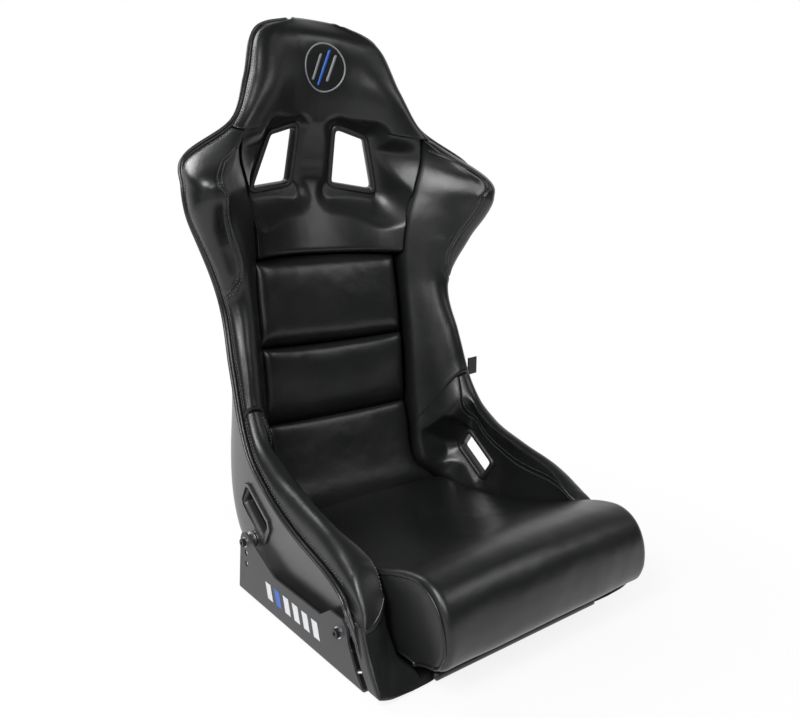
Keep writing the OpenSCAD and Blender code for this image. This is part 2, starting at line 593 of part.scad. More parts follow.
module cover_body() {
    a = PAD_BREAKS[3] + seam_gap / 2 / pace(7.6);
    da = 16 / pace(7.6);
    ts = concat([a, a + da * 0.1, a + da * 0.35], steps(a + da, WING_END - 0.02, 8),
        steps(WING_END + 0.03, 13.2, 6), [13.45, 13.65, 13.8, 13.92, 14]);
    ends = concat([0.35, 0.66, 0.9], [for (i = [0 : len(ts) - 9]) 1], [0.96, 0.88, 0.74, 0.5, 0.25]);
    m = len(ts) - 1;
    under = lifted([for (t = ts) let (st = station(t)) [for (p = both_sides(cover_under(t, st)))
        place(st, p)]], foam_gap);
    over = [for (t = ts) let (st = station(t)) [for (p = both_sides(cover_row(t, st)))
        place(st, p)]];
    slab([for (i = [0 : m]) [for (j = [0 : len(under[0]) - 1])
        mix(under[i][j], over[i][j], ends[i])]], under);
}
module head_cover() {
    color(VINYL) seated() difference() {
        cover_body();
        left_and_right() shoulder_slot_cut();
    }
}

// ---- edge trim: a channel over the shell's raw edge, swept round the whole rim ----

edge_normals = grid_normals(shell_inside);
last_row = len(shell_ts) - 1;
function rim_point(i, j) = [shell_inside[i][j], edge_normals[i][j]];
rim = concat([for (j = [2 : 2 : SHELL_COLS * 0.75]) rim_point(0, j)],
    [for (j = [SHELL_COLS * 0.75 + 1 : SHELL_COLS]) rim_point(0, j)],
    [for (i = [1 : last_row]) rim_point(i, SHELL_COLS)],
    [for (j = [SHELL_COLS - 4 : -3 : 3]) rim_point(last_row, j)],
    [for (i = [last_row : -1 : 1]) rim_point(i, 0)], [rim_point(0, 0), rim_point(0, 1)]);
trim_outline = let (a = -shell_wall - 3 * fit_gap, b = a - trim_t, c = 2 * fit_gap, d = c + trim_t)
    [[c, a], [-trim_reach, a], [-trim_reach, b], [d, b], [d, 0], [c, 0]];
module edge_trim() {
    n = len(rim);
    rings = [for (i = [0 : n - 1])
        let (run = unit(rim[(i + 1) % n][0] - rim[(i + n - 1) % n][0]), face = rim[i][1],
            out = unit(cross(face, run)))
        [for (p = trim_outline) rim[i][0] - p[0] * out + p[1] * face]];
    color(PLASTIC) seated() skin(rings, true);
}

// ---- seat cushion ----

cushion_side_v = 16;
// Underside of the cushion at the middle, on its strips
strip_z = floor_z + 2 * fit_gap;
cushion_under_z = strip_z + strip_t + fit_gap;
// Side outline of the cushion, from the back of its underside round the front roll
function cushion_outline(lift) = concat(
    [[cushion_l - 2, cushion_under_z + 46], [cushion_l - 34, cushion_under_z + 28 + lift * 0.4],
     [cushion_l - 70, cushion_under_z + 10 + lift * 0.8], [cushion_l - 110, cushion_under_z + lift],
     [150, cushion_under_z + lift], [16, cushion_under_z + lift]],
    [for (u = steps(0, 1, 5)) bezier([[2, roll_under_z - 16], [-14, roll_under_z - 6],
        [-30, roll_under_z - 4], [-roll_reach * 0.7, roll_under_z]], u)],
    [for (u = steps(0.12, 1, 8)) bezier([[-roll_reach * 0.7, roll_under_z],
        [-roll_reach * 1.1, roll_under_z + 12],
        [-roll_reach * 1.12, roll_z - 6], [-roll_reach * 0.1, roll_z]], u)],
    [for (u = steps(0.12, 1, 9)) bezier([[-roll_reach * 0.1, roll_z], [roll_reach * 1.3, roll_z + 2],
        [cushion_l * 0.325, cushion_back_z - 4], [cushion_l - 12, cushion_back_z - 2]], u)],
    [[cushion_l, cushion_back_z - 6]]);
module cushion_body() {
    half = cushion_w / 2;
    r = cushion_edge_r;
    xs = concat([-half, -half + r * 0.12, -half + r * 0.5, -half + r],
        steps(-half + 3 * r, half - 3 * r, 6),
        [half - r, half - r * 0.5, half - r * 0.12, half]);
    skin([for (x = xs)
        let (e = max(abs(x) - (half - r), 0) / r, inset = r * (1 - sqrt(1 - e * e)),
            lift = cushion_side_v * pow(abs(x) / half, 6), crown = 5 * (1 - pow(x / half, 2)))
        [for (p = cushion_outline(lift))
            let (up = p[1] > roll_under_z + 20 ? 1 : 0,
                side = p[0] > 10 ? 0 : 1,
                y = p[0] + side * inset - (p[0] > cushion_l - 20 ? inset : 0),
                z = p[1] + up * (crown - inset) + (up == 1 ? 0 : inset * 0.3))
            [x, y, z]]]);
}
module seat_cushion() {
    color(VINYL) seated() cushion_body();
}
module cushion_strips() {
    color(PLASTIC) seated() for (y = [70, 200])
        translate([-strip_l / 2, y, strip_z]) cube([strip_l, strip_w, strip_t]);
}

// ---- slot bezels: a flange on the trim with a liner, and a ring on the shell's outside ----

liner_end = 1.5;
module shoulder_bezel() {
    at_shoulder_slot() linear_extrude(bezel_flange_t) frame_2d(shoulder_outline, 0, bezel_flange_w);
    intersection() {
        at_shoulder_slot() translate([0, 0, -slot_back]) linear_extrude(slot_back + bezel_flange_t)
            frame_2d(shoulder_outline, 0, bezel_wall);
        shell_layer(8.3, 11.3, 10, 0, 1, 10, -shell_wall - liner_end, 100);
    }
}
module shoulder_ring() {
    intersection() {
        at_shoulder_slot() translate([0, 0, -slot_back]) linear_extrude(slot_back)
            frame_2d(shoulder_outline, bezel_wall + fit_gap, bezel_flange_w);
        shell_layer(8.3, 11.3, 10, 0, 1, 10, -shell_wall - fit_gap - bezel_flange_t + 1,
            -shell_wall - fit_gap);
    }
}
module lap_layer(near, far) {
    g = [for (t = roll_ts(0, THIGH_END, PANEL_ROWS)) if (t > 2.2 && t < 4.6)
        over_row(t, station(t), 0)];
    slab(lifted(g, far), lifted(g, near));
}
module lap_bezel() {
    intersection() {
        through_lap_slot() frame_2d(lap_outline, 0, bezel_flange_w);
        lap_layer(3 * fit_gap, 3 * fit_gap + bezel_flange_t);
    }
    intersection() {
        through_lap_slot() frame_2d(lap_outline, 0, bezel_wall);
        lap_layer(-60, 3 * fit_gap + bezel_flange_t);
        shell_layer(2.6, 4.3, 9, 0.3, 1, 9, -shell_wall - liner_end, 60);
    }
}
module lap_ring() {
    intersection() {
        through_lap_slot() frame_2d(lap_outline, bezel_wall + fit_gap, bezel_flange_w);
        shell_layer(2.6, 4.3, 9, 0.3, 1, 9, -shell_wall - fit_gap - bezel_flange_t + 1,
            -shell_wall - fit_gap);
    }
}
module shoulder_bezel_left() { color(PLASTIC) seated() shoulder_bezel(); }
module shoulder_bezel_right() { color(PLASTIC) seated() mirror([1, 0, 0]) shoulder_bezel(); }
module shoulder_ring_left() { color(PLASTIC) seated() shoulder_ring(); }
module shoulder_ring_right() { color(PLASTIC) seated() mirror([1, 0, 0]) shoulder_ring(); }
module lap_bezel_left() { color(PLASTIC) seated() lap_bezel(); }
module lap_bezel_right() { color(PLASTIC) seated() mirror([1, 0, 0]) lap_bezel(); }
module lap_ring_left() { color(PLASTIC) seated() lap_ring(); }
module lap_ring_right() { color(PLASTIC) seated() mirror([1, 0, 0]) lap_ring(); }

// ---- side brackets ----

bracket_y0 = front_bolt_y - 51;
bend_r = plate_t + 2;
foot_hole_x = plate_x - foot_w / 2 - 2;
foot_hole_y = [bracket_y0 + 36, bracket_y0 + 36 + foot_pitch];
// Side outline of the plate, front bottom corner first
plate_outline = [[bracket_y0, bend_r], [bracket_y0 + bracket_l, bend_r],
    [rear_bolt_y + 17, rear_bolt_z + 2], [rear_bolt_y + 12, rear_bolt_z + 11],
    [rear_bolt_y, rear_bolt_z + 15], [rear_bolt_y - 12, rear_bolt_z + 11],
    [rear_bolt_y - 90, plate_z], [front_bolt_y + 46, plate_z],
    [front_bolt_y + 22, front_bolt_z + 21], [front_bolt_y - 8, front_bolt_z + 21],
    [front_bolt_y - 17, front_bolt_z + 12], [front_bolt_y - 21, front_bolt_z - 8],
    [bracket_y0 + 14, 22]];
module side_bracket() {
    difference() {
        union() {
            translate([plate_x - plate_t, 0, 0]) rotate([90, 0, 90])
                linear_extrude(plate_t) polygon(plate_outline);
            translate([plate_x, bracket_y0, 0]) rotate([90, 0, 180])
                linear_extrude(bracket_l) polygon(concat(
                    [[foot_w, 0], [foot_w, plate_t]],
                    [for (a = steps(0, 90, 5)) [bend_r, bend_r] + (bend_r - plate_t) * [-sin(a), -cos(a)]],
                    [[plate_t, bend_r + 0.01], [0, bend_r + 0.01]],
                    [for (a = steps(0, 90, 5)) [bend_r, bend_r] + bend_r * [-cos(a), -sin(a)]]));
        }
        for (p = [bolt_places[0], rear_hole(0), rear_hole(1), rear_hole(2)])
            at_side(plate_x - 20, p) cylinder(h = 40, d = hole_d, $fn = 48);
        for (y = foot_hole_y)
            translate([foot_hole_x, y, -5]) cylinder(h = 20, d = hole_d, $fn = 48);
    }
}
function rear_hole(i) = [rear_bolt_y, rear_bolt_z - i * height_pitch];
module side_bracket_left() { color(STEEL) seated() side_bracket(); }
module side_bracket_right() { color(STEEL) seated() mirror([1, 0, 0]) side_bracket(); }

module bolt(p) {
    reach = plate_x - wall_x(p) - 1;
    at_side(plate_x + washer_t, p) difference() {
        union() {
            cylinder(h = head_h, d = head_d, $fn = 48);
            translate([0, 0, -washer_t - reach]) cylinder(h = washer_t + reach + 1, d = bolt_d, $fn = 48);
        }
        translate([0, 0, head_h - 3]) cylinder(h = 5, d = bolt_d * 0.75, $fn = 6);
    }
}
module washer(p) {
    at_side(plate_x, p) difference() {
        cylinder(h = washer_t, d = washer_d, $fn = 48);
        translate([0, 0, -1]) cylinder(h = washer_t + 2, d = hole_d, $fn = 48);
    }
}
module spacer(p) {
    at_side(insert_face_x(p), p) difference() {
        cylinder(h = plate_x - plate_t - insert_face_x(p), d = washer_d + 4, $fn = 48);
        translate([0, 0, -1]) cylinder(h = 60, d = hole_d, $fn = 48);
    }
}
// Threaded steel insert, moulded into the shell's side wall
module insert(p) {
    face = insert_face_x(p);
    at_side(face, p) difference() {
        union() {
            translate([0, 0, -insert_flange_t])
                cylinder(h = insert_flange_t, d = insert_flange_d, $fn = 48);
            translate([0, 0, wall_x(p) + 1 - face])
                cylinder(h = face - wall_x(p) - 1, d = insert_d, $fn = 48);
        }
        translate([0, 0, -60]) cylinder(h = 80, d = bolt_d + bolt_clear, $fn = 48);
    }
}
module bracket_bolts() {
    color(PLASTIC) seated() left_and_right() for (p = bolt_places) bolt(p);
}
module bracket_washers() {
    color(ZINC) seated() left_and_right() for (p = bolt_places) washer(p);
}
module bracket_spacers() {
    color(PLASTIC) seated() left_and_right() for (p = bolt_places) spacer(p);
}
module shell_inserts() {
    color(ZINC) seated() left_and_right() for (p = bolt_places) insert(p);
}

// ---- woven loop tag, sewn into the left side bolster's outer seam ----

tag_w = 28;
tag_t = 2.4;
tag_h = 32;
tag_turn = 35;
tag_station = 5.2;
module loop_tag() {
    st = station(tag_station);
    edge = place(st, st[4][3]);
    color(PLASTIC) seated()
        translate([edge[0] + shell_wall + trim_t + fit_gap * 8, edge[1] - 4, edge[2] - 20])
            rotate([0, 0, tag_turn]) cube([tag_w, tag_t, tag_h]);
}

shell();
edge_trim();
head_cover();
side_bolster_left();
side_bolster_right();
thigh_bolster_left();
thigh_bolster_right();
side_panel_left();
side_panel_right();
back_pad_upper();
back_pad_middle();
back_pad_lower();
seat_cushion();
cushion_strips();
shoulder_bezel_left();
shoulder_bezel_right();
shoulder_ring_left();
shoulder_ring_right();
lap_bezel_left();
lap_bezel_right();
lap_ring_left();
lap_ring_right();
side_bracket_left();
side_bracket_right();
bracket_bolts();
bracket_washers();
bracket_spacers();
shell_inserts();
loop_tag();
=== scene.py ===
from functools import lru_cache
from math import acos, asin, cos, exp, pi, radians, sin, sqrt

import bmesh
import bpy
from mathutils import Matrix, Vector, noise
from mathutils.bvhtree import BVHTree


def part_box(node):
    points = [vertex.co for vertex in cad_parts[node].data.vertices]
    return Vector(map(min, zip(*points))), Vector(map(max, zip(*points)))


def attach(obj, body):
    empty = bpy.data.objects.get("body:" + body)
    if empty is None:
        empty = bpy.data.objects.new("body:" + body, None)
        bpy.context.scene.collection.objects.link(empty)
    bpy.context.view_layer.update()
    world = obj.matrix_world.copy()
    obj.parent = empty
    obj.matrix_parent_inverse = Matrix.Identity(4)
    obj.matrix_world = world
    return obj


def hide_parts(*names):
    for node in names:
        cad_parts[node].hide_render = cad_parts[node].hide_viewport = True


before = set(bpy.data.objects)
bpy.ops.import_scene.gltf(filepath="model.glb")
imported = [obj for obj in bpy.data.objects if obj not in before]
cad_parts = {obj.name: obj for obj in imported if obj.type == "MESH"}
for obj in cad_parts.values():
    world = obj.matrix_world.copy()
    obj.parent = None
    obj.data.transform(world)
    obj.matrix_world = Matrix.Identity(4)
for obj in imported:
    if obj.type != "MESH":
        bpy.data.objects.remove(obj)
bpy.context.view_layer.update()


# ---- Studio: a white floor, five soft boxes and the camera at the front right of the seat. The
# ---- walls are dim, and a pale backdrop stands behind the seat. ----

scene = bpy.context.scene
scene.view_settings.view_transform = "Standard"


def add_object(name, data):
    made = bpy.data.objects.new(name, data)
    scene.collection.objects.link(made)
    return made


camera_data = bpy.data.cameras.new("camera")
camera_data.lens, camera_data.sensor_width = 34.57, 36.0
camera = add_object("camera", camera_data)
camera.location = (-0.7273, -0.9162, 0.6025)
LOOK = Vector((0.598, 0.776, -0.2016))
camera.rotation_euler = LOOK.to_track_quat("-Z", "Y").to_euler()
scene.camera = camera


def soft_box(name, place, aim, size, power):
    lamp = bpy.data.lights.new(name, "AREA")
    lamp.shape, lamp.energy = "RECTANGLE", power
    lamp.size, lamp.size_y = size
    box = add_object(name, lamp)
    box.location = place
    box.rotation_euler = (Vector(aim) - Vector(place)).to_track_quat("-Z", "Y").to_euler()


soft_box("key_box", (-2.0, -0.9, 2.1), (0, 0, 0.5), (1.0, 1.5), 74)
soft_box("fill_box", (1.6, -1.9, 2.1), (0, 0, 0.75), (1.2, 1.1), 15)
soft_box("front_box", (-1.3, -2.1, 1.7), (0, 0, 0.6), (0.8, 1.0), 22)
soft_box("side_box", (-2.7, -0.5, 0.95), (0, 0, 0.5), (1.2, 1.5), 5)
soft_box("rear_box", (-0.8, 1.7, 2.1), (0, 0.0, 0.5), (1.5, 0.8), 30)


class Value:
    """A shader socket that takes part in sums and products."""

    def __init__(self, nodes, socket):
        self.nodes, self.socket = nodes, socket

    def __add__(self, other):
        return self.nodes.node("Math", {"operation": "ADD"}, self, other)

    def __mul__(self, other):
        return self.nodes.node("Math", {"operation": "MULTIPLY"}, self, other)

    __radd__, __rmul__ = __add__, __mul__


class Nodes:
    """The nodes of a world or a material: node() adds one, own() feeds one that is there already."""

    def __init__(self, owner):
        owner.use_nodes = True
        self.owner, self.tree = owner, owner.node_tree

    def feed(self, made, inputs, out):
        for key, value in inputs.items():
            socket = made.inputs[key.replace("_", " ") if isinstance(key, str) else key]
            if isinstance(value, Value):
                self.tree.links.new(value.socket, socket)
            else:
                socket.default_value = value
        return Value(self, made.outputs[out]) if made.outputs else None

    def node(self, kind, settings=None, *inputs, out=0, **named):
        made = self.tree.nodes.new("ShaderNode" + kind)
        for key, value in (settings or {}).items():
            if key == "stops":
                for element, (position, colour) in zip(made.color_ramp.elements, value):
                    element.position, element.color = position, (*colour, 1)
            else:
                setattr(made, key, value)
        return self.feed(made, {**dict(enumerate(inputs)), **named}, out)

    def own(self, name, **named):
        return self.feed(self.tree.nodes[name], named, 0)

    def ramp(self, value, a, low, b, high):
        """A colour that goes from low at a to high at b."""
        return self.node("ValToRGB", {"stops": [(a, low), (b, high)]}, value)

    def seen_by(self, *rays):
        """1 where one of two kinds of ray comes in, and 0 elsewhere."""
        return self.node("Math", {"operation": "MAXIMUM"}, *[self.node("LightPath", out=ray) for ray in rays])


class Finish(Nodes):
    """A material under construction: surface() sets its shader and gives the material back."""

    def __init__(self, name):
        super().__init__(bpy.data.materials.new(name))

    def place(self):
        return self.node("TexCoord", out="Object")

    def noise(self, scale, detail):
        return self.node("TexNoise", Vector=self.place(), Scale=scale, Detail=detail)

    def bump(self, height, strength, distance, **named):
        return self.node("Bump", Strength=strength, Distance=distance, Height=height, **named)

    def surface(self, **settings):
        self.own("Principled BSDF", **settings)
        return self.owner


scene.world = bpy.data.worlds.new("studio")
air = Nodes(scene.world)
across_room = air.node("VectorMath", {"operation": "DOT_PRODUCT"}, air.node("TexCoord", out="Generated"),
                       (0.52, 0.80, -0.30), out="Value")
dim = air.own("Background", Color=air.ramp(across_room, 0.0, (0.035, 0.035, 0.037), 0.75, (1, 1, 1)))
white_air = air.node("Background", None, (1, 1, 1, 1))
air.own("World Output", Surface=air.node(
    "MixShader", None, air.seen_by("Is Camera Ray", "Is Transmission Ray"), dim, white_air))


def mesh_from(name, bm):
    mesh = bpy.data.meshes.new(name)
    bm.to_mesh(mesh)
    bm.free()
    return mesh


floor_grid = bmesh.new()
bmesh.ops.create_grid(floor_grid, x_segments=30, y_segments=30, size=1.5)
floor = add_object("floor", mesh_from("floor", floor_grid))

# The floor is lit to white and keeps a faint shadow of the seat: its own shade is raised to white
# wherever it is lit, and it goes over into the white air at its rim.
paper = Finish("white_floor")
shade = paper.own("Principled BSDF", Base_Color=(0.82, 0.82, 0.82, 1), Roughness=0.9)
from_middle = paper.node("VectorMath", {"operation": "LENGTH"}, paper.place(), out="Value")
fade = paper.ramp(from_middle, 0.10, (0.80, 0.80, 0.80), 0.75, (1, 1, 1))
paper.own("Material Output", Surface=paper.node(
    "MixShader", None, paper.seen_by("Is Camera Ray", "Is Glossy Ray") * fade, shade, paper.node("Emission")))
floor.data.materials.append(paper.owner)


# ---- Shell: a moulded composite bucket, 5 mm thick, laid up in one mould from the pan to the head,
# ---- with its outside in dark grey gelcoat. Its form is a loft through stations 0 (front edge of the
# ---- pan) to 14 (top of the head), each with a spine point, a heading and a half section. ----

MM = 0.001
SHIFT = -250.042
FIT_GAP, SEAM_GAP, SHELL_WALL = 0.5, 1.2, 5.0
PAN_W, WAIST_W, WING_W, NECK_W, HEAD_W, CROWN_W = 466, 446, 556, 374, 284, 234
FRONT_D, THIGH_D, HIP_D, TORSO_D, WAIST_D, WING_D, HEAD_D = 108, 134, 178, 104, 86, 132, 50
PAN_L, TORSO_L, WING_L, NECK_L, HEAD_L, RECLINE = 310, 275, 203, 105, 148, 10.8
LAST = 14
WELD = 0.000005


def mix(a, b, u):
    return a + (b - a) * u


def law(stops, t):
    """A smooth curve through [station, value] stops."""
    i = 0
    while i < len(stops) - 2 and t >= stops[i + 1][0]:
        i += 1

    def tilt(k):
        a, b = max(k - 1, 0), min(k + 1, len(stops) - 1)
        return (stops[b][1] - stops[a][1]) / (stops[b][0] - stops[a][0])

    h = stops[i + 1][0] - stops[i][0]
    u = (t - stops[i][0]) / h
    u2, u3 = u * u, u * u * u
    return (stops[i][1] * (2 * u3 - 3 * u2 + 1) + tilt(i) * h * (u3 - 2 * u2 + u)
            + stops[i + 1][1] * (3 * u2 - 2 * u3) + tilt(i + 1) * h * (u3 - u2))


def bezier(p, u):
    w = 1 - u
    return tuple(w * w * w * a + 3 * w * w * u * b + 3 * w * u * u * c + u * u * u * d
                 for a, b, c, d in zip(*p))


def pulled(p, u):
    """A curve on a Bezier curve's handles that keeps closer to them, and so has squarer corners."""
    w = 1 - u
    a, b = w * w * w, u * u * u
    return tuple(a * w * w * q[0] + a * u * (5 * w + 10 * u) * q[1]
                 + b * w * (10 * w + 5 * u) * q[2] + b * u * u * q[3] for q in zip(*p))


def smooth(x, a=0.0, b=1.0):
    k = min(max((x - a) / (b - a), 0.0), 1.0)
    return k * k * (3 - 2 * k)


# The spine's legs from station to station: how long each one is, and how steep in degrees
FRONT_L = PAN_L * 0.29 - 7
UPRIGHT, HEAD_UP = 90 - RECLINE, 99
LEGS = [(FRONT_L, asin(7 / FRONT_L) * 180 / pi), (PAN_L * 0.355, 0), (PAN_L * 0.355, 1), (112, 24),
        (122, 64), (TORSO_L * 0.48, UPRIGHT - 1.5), (TORSO_L * 0.52, UPRIGHT), (WING_L * 0.58, UPRIGHT + 4.5),
        (WING_L * 0.42, UPRIGHT + 7), (NECK_L * 0.57, UPRIGHT + 1), (NECK_L * 0.43, HEAD_UP - 10),
        (HEAD_L * 0.37, HEAD_UP + 1), (HEAD_L * 0.42, HEAD_UP - 2), (HEAD_L * 0.21, HEAD_UP - 2)]
SPINE = [(7.0, 10.0)]
for length, angle in LEGS:
    SPINE.append((SPINE[-1][0] + length * cos(radians(angle)), SPINE[-1][1] + length * sin(radians(angle))))
SPINE_Y = [(i, p[0]) for i, p in enumerate(SPINE)]
SPINE_Z = [(i, p[1]) for i, p in enumerate(SPINE)]
AIM = [(0, 53), (1, 71), (2, 84), (3, 97), (4, 114), (5, 128), (6, 150), (7, 177), (8, 191), (9, 195),
       (10, 199), (11, 197), (12, 190), (13, 190), (14, 200)]
DEPTH = [(0, FRONT_D), (1, mix(FRONT_D, THIGH_D, 0.2)), (2, THIGH_D), (3, mix(THIGH_D, HIP_D, 0.8)),
         (4, HIP_D), (5, mix(HIP_D, TORSO_D, 0.45)), (6, TORSO_D), (7, WAIST_D),
         (8, mix(WAIST_D, WING_D, 0.66)), (9, WING_D), (10, WING_D), (11, mix(WING_D, HEAD_D, 0.35)),
         (12, mix(WING_D, HEAD_D, 0.85)), (13, HEAD_D - 14), (14, HEAD_D - 26)]
HALF = [(0, PAN_W / 2 + 5), (0.35, PAN_W / 2), (3, PAN_W / 2), (4, PAN_W / 2),
        (5, mix(PAN_W, WAIST_W, 0.35) / 2), (6, mix(PAN_W, WAIST_W, 0.75) / 2), (7, WAIST_W / 2),
        (8, mix(WAIST_W, WING_W, 0.6) / 2 + 3), (8.6, mix(WAIST_W, WING_W, 0.9) / 2 + 6), (9.2, WING_W / 2 + 5),
        (10, WING_W / 2 - 4), (11, NECK_W / 2 - 3), (12, HEAD_W / 2 + 2), (13, CROWN_W / 2 + 2.5),
        (13.6, CROWN_W / 2 - 24), (14, CROWN_W / 2 - 64)]
FLAT = [(0, 0.99), (0.5, 0.97), (4.4, 0.95), (5, 0.9), (6, 0.64), (7, 0.56), (9, 0.50), (11, 0.55),
        (14, 0.60)]
SQUARE = [(0, 1), (4, 1), (5, 0.7), (6, 0.1), (7, 0), (14, 0)]
LEAN = [(0, 0), (0.4, 9), (3, 14), (4.6, 10), (6, 24), (7, 30), (9, 58), (11, 40), (12, 18), (14, 10)]
# How far the shell's middle goes back below the shoulder slots, and comes forward above them
DISH = [(0, 0), (7.4, 0), (8.0, 0), (8.6, -6), (9.1, -9), (9.5, -3), (9.8, 6), (10.1, 13), (10.4, 19), (10.8, 24),
        (11.4, 26), (12.3, 19), (13.3, 5), (14, 0)]
FOOT = [(0, 0.03), (0.5, 0.12), (4.4, 0.12), (6, 0.3), (7, 0.36), (9, 0.5), (11, 0.5), (14, 0.4)]


class Station:
    """One section plane of the seat: where it stands, how it is turned, and its half section."""

    def __init__(self, t):
        self.t = t
        self.y, self.z = law(SPINE_Y, t), law(SPINE_Z, t)
        a = radians(law(AIM, t))
        self.ay, self.az = cos(a), sin(a)
        self.half, self.depth = law(HALF, t), law(DEPTH, t)
        w, d = self.half, self.depth
        self.handles = ((0, 0), (w * law(FLAT, t), 0), (w - law(LEAN, t), d * law(FOOT, t)), (w, d))
        self.square = law(SQUARE, t)
        self.dish = law(DISH, t)

    def place(self, p):
        """A point of the plane, x across and v up from the spine, in metres in the seat's frame."""
        return Vector((p[0], self.y + self.ay * p[1] + SHIFT, self.z + self.az * p[1])) * MM

    def wall(self, q):
        """The shell's inside face: q goes from -1, right edge, to 1, left edge."""
        a = abs(q)
        b, s = bezier(self.handles, a), pulled(self.handles, a)
        x, v = mix(b[0], s[0], self.square), mix(b[1], s[1], self.square)
        v += self.dish * (1 - smooth(x, 0.45 * self.half, 0.9 * self.half))
        return (-x if q < 0 else x, v)

    @lru_cache(maxsize=None)
    def share(self, axis, value):
        """The q at which the wall is value from the middle (axis 0) or from the spine (axis 1)."""
        a, b = 0.0, 1.0
        for _ in range(18):
            m = (a + b) / 2
            a, b = (m, b) if self.wall(m)[axis] < value else (a, m)
        return (a + b) / 2


@lru_cache(maxsize=None)
def rounded_station(t):
    return Station(t)


def station(t):
    """The station at t, to five places, made only once."""
    return rounded_station(round(t, 5))


def mirrored(p, side):
    """A place on a side of the seat, from the same place on the left."""
    return Vector((p.x * side, p.y, p.z))


def new_piece(name, bm, material, smooth_faces=True):
    """Makes an object at the origin from a finished bmesh, riding on the seat."""
    for face in bm.faces:
        face.smooth = smooth_faces
    piece = add_object(name, mesh_from(name, bm))
    piece.data.materials.append(material)
    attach(piece, "root")
    return piece


def shaped_grid(across_n, along_n, form, weld=0.0):
    """A grid of cells moved onto a surface: form(u, v) with both from 0 to 1."""
    bm = bmesh.new()
    bmesh.ops.create_grid(bm, x_segments=across_n, y_segments=along_n, size=0.5, calc_uvs=True)
    for vert in bm.verts:
        vert.co = form(vert.co.x + 0.5, vert.co.y + 0.5)
    if weld:
        bmesh.ops.remove_doubles(bm, verts=bm.verts, dist=weld)
    bmesh.ops.recalc_face_normals(bm, faces=bm.faces)
    return bm


def shell_face(u, v):
    s = station(v * LAST)
    return s.place(s.wall(2 * u - 1))


shell_grid = shaped_grid(120, 170, shell_face)
middle = min(shell_grid.faces, key=lambda f: (f.calc_center_median() - station(7).place((0, 0))).length)
if middle.normal.y > 0:
    bmesh.ops.reverse_faces(shell_grid, faces=shell_grid.faces)
bmesh.ops.solidify(shell_grid, geom=shell_grid.faces[:], thickness=SHELL_WALL * MM)
bmesh.ops.recalc_face_normals(shell_grid, faces=shell_grid.faces)


def gelcoat():
    f = Finish("grey_gelcoat")
    cloud, fine = f.noise(9.0, 3.0), f.noise(260.0, 2.0)
    colour = f.ramp(cloud, 0.3, (0.019, 0.019, 0.020), 0.7, (0.025, 0.025, 0.026))
    return f.surface(Base_Color=colour, Roughness=cloud * 0.16 + 0.26, Coat_Weight=0.25, Coat_Roughness=0.2,
                     Normal=f.bump(fine + cloud * 2.0, 0.12, 0.0004))


SHELL_FINISH = gelcoat()
shell = new_piece("shell_moulding", shell_grid, SHELL_FINISH)
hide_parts("shell")


# ---- Slots: moulded bezels of satin black plastic clip through the trim and the shell, and guard
# ---- the belts. A ring on the outside of the shell holds each one. ----

SHOULDER_MIDDLE = (81, 680)
SHOULDER_FACE, SHOULDER_TURN, SHOULDER_NOD = 27.2, 14.8, 14.6
SHOULDER_OUTLINE = [(-40.0, -46.5), (38, -58), (14.5, 30), (-38, 46.5)]
SHOULDER_ROUND, SHOULDER_FLARE, SHOULDER_CUT = 9, 0.42, 70
LAP_MIDDLE, LAP_SLOPE, LAP_ROUND = (332, 140), 36, 7
LAP_OUTLINE = [(-36, -19), (36, -19), (36, 19), (-36, 19)]
BEZEL_WALL, FLANGE_W = 2.6, 9.0
SIDES = (("left", 1), ("right", -1))


def sided(place, side):
    """A slot's place on a side of the seat, from its place on the left."""
    return place if side > 0 else Matrix.Scale(-1, 4, (1, 0, 0)) @ place


def grown(outline, g):
    """A convex outline with each of its sides moved out by g."""
    count, out = len(outline), []
    for i, p in enumerate(outline):
        before, after = outline[i - 1], outline[(i + 1) % count]
        a = Vector((p[0] - before[0], p[1] - before[1])).normalized()
        b = Vector((after[0] - p[0], after[1] - p[1])).normalized()
        na, nb = Vector((a.y, -a.x)), Vector((b.y, -b.x))
        out.append(Vector(p[:2]) + g * (na + nb) / (1 + na.dot(nb)))
    return out


def rounded(outline, r, n=8, straight=6):
    """An outline with round corners of about r, as points."""
    corners, out = [], []
    for i, p in enumerate(outline):
        p = Vector(p[:2])
        to_a = Vector(outline[i - 1][:2]) - p
        to_b = Vector(outline[(i + 1) % len(outline)][:2]) - p
        bend = acos(max(-1, min(1, to_a.normalized().dot(to_b.normalized())))) / 2
        reach = min(r * cos(bend) / sin(bend), to_a.length * 0.45, to_b.length * 0.45)
        pa, pb = p + to_a.normalized() * reach, p + to_b.normalized() * reach
        ratio = (4 / 3) * (1 - sin(bend)) / cos(bend) ** 2 if cos(bend) > 0.01 else 0.66
        corners.append((pa, pa.lerp(p, ratio), pb.lerp(p, ratio), pb))
    for i, corner in enumerate(corners):
        after = corners[(i + 1) % len(corners)]
        out += [Vector(bezier(corner, k / n)) for k in range(n + 1)]
        out += [corner[3].lerp(after[0], k / straight) for k in range(1, straight)]
    return out


def shell_up(s, q, height):
    """A point height above the shell's inside face, in a station's plane."""
    p, ahead, behind = s.wall(q), s.wall(q + 0.01), s.wall(q - 0.01)
    run = Vector((ahead[0] - behind[0], ahead[1] - behind[1])).normalized()
    return (p[0] - run.y * height, p[1] + run.x * height)


slot_middle = Vector((SHOULDER_MIDDLE[0], law(SPINE_Y, 9.55) - SHOULDER_FACE + SHIFT,
                      SHOULDER_MIDDLE[1])) * MM
SHOULDER_PLACE = (Matrix.Translation(slot_middle) @ Matrix.Rotation(radians(-SHOULDER_TURN), 4, "Z")
                  @ Matrix.Rotation(radians(90 + SHOULDER_NOD), 4, "X"))


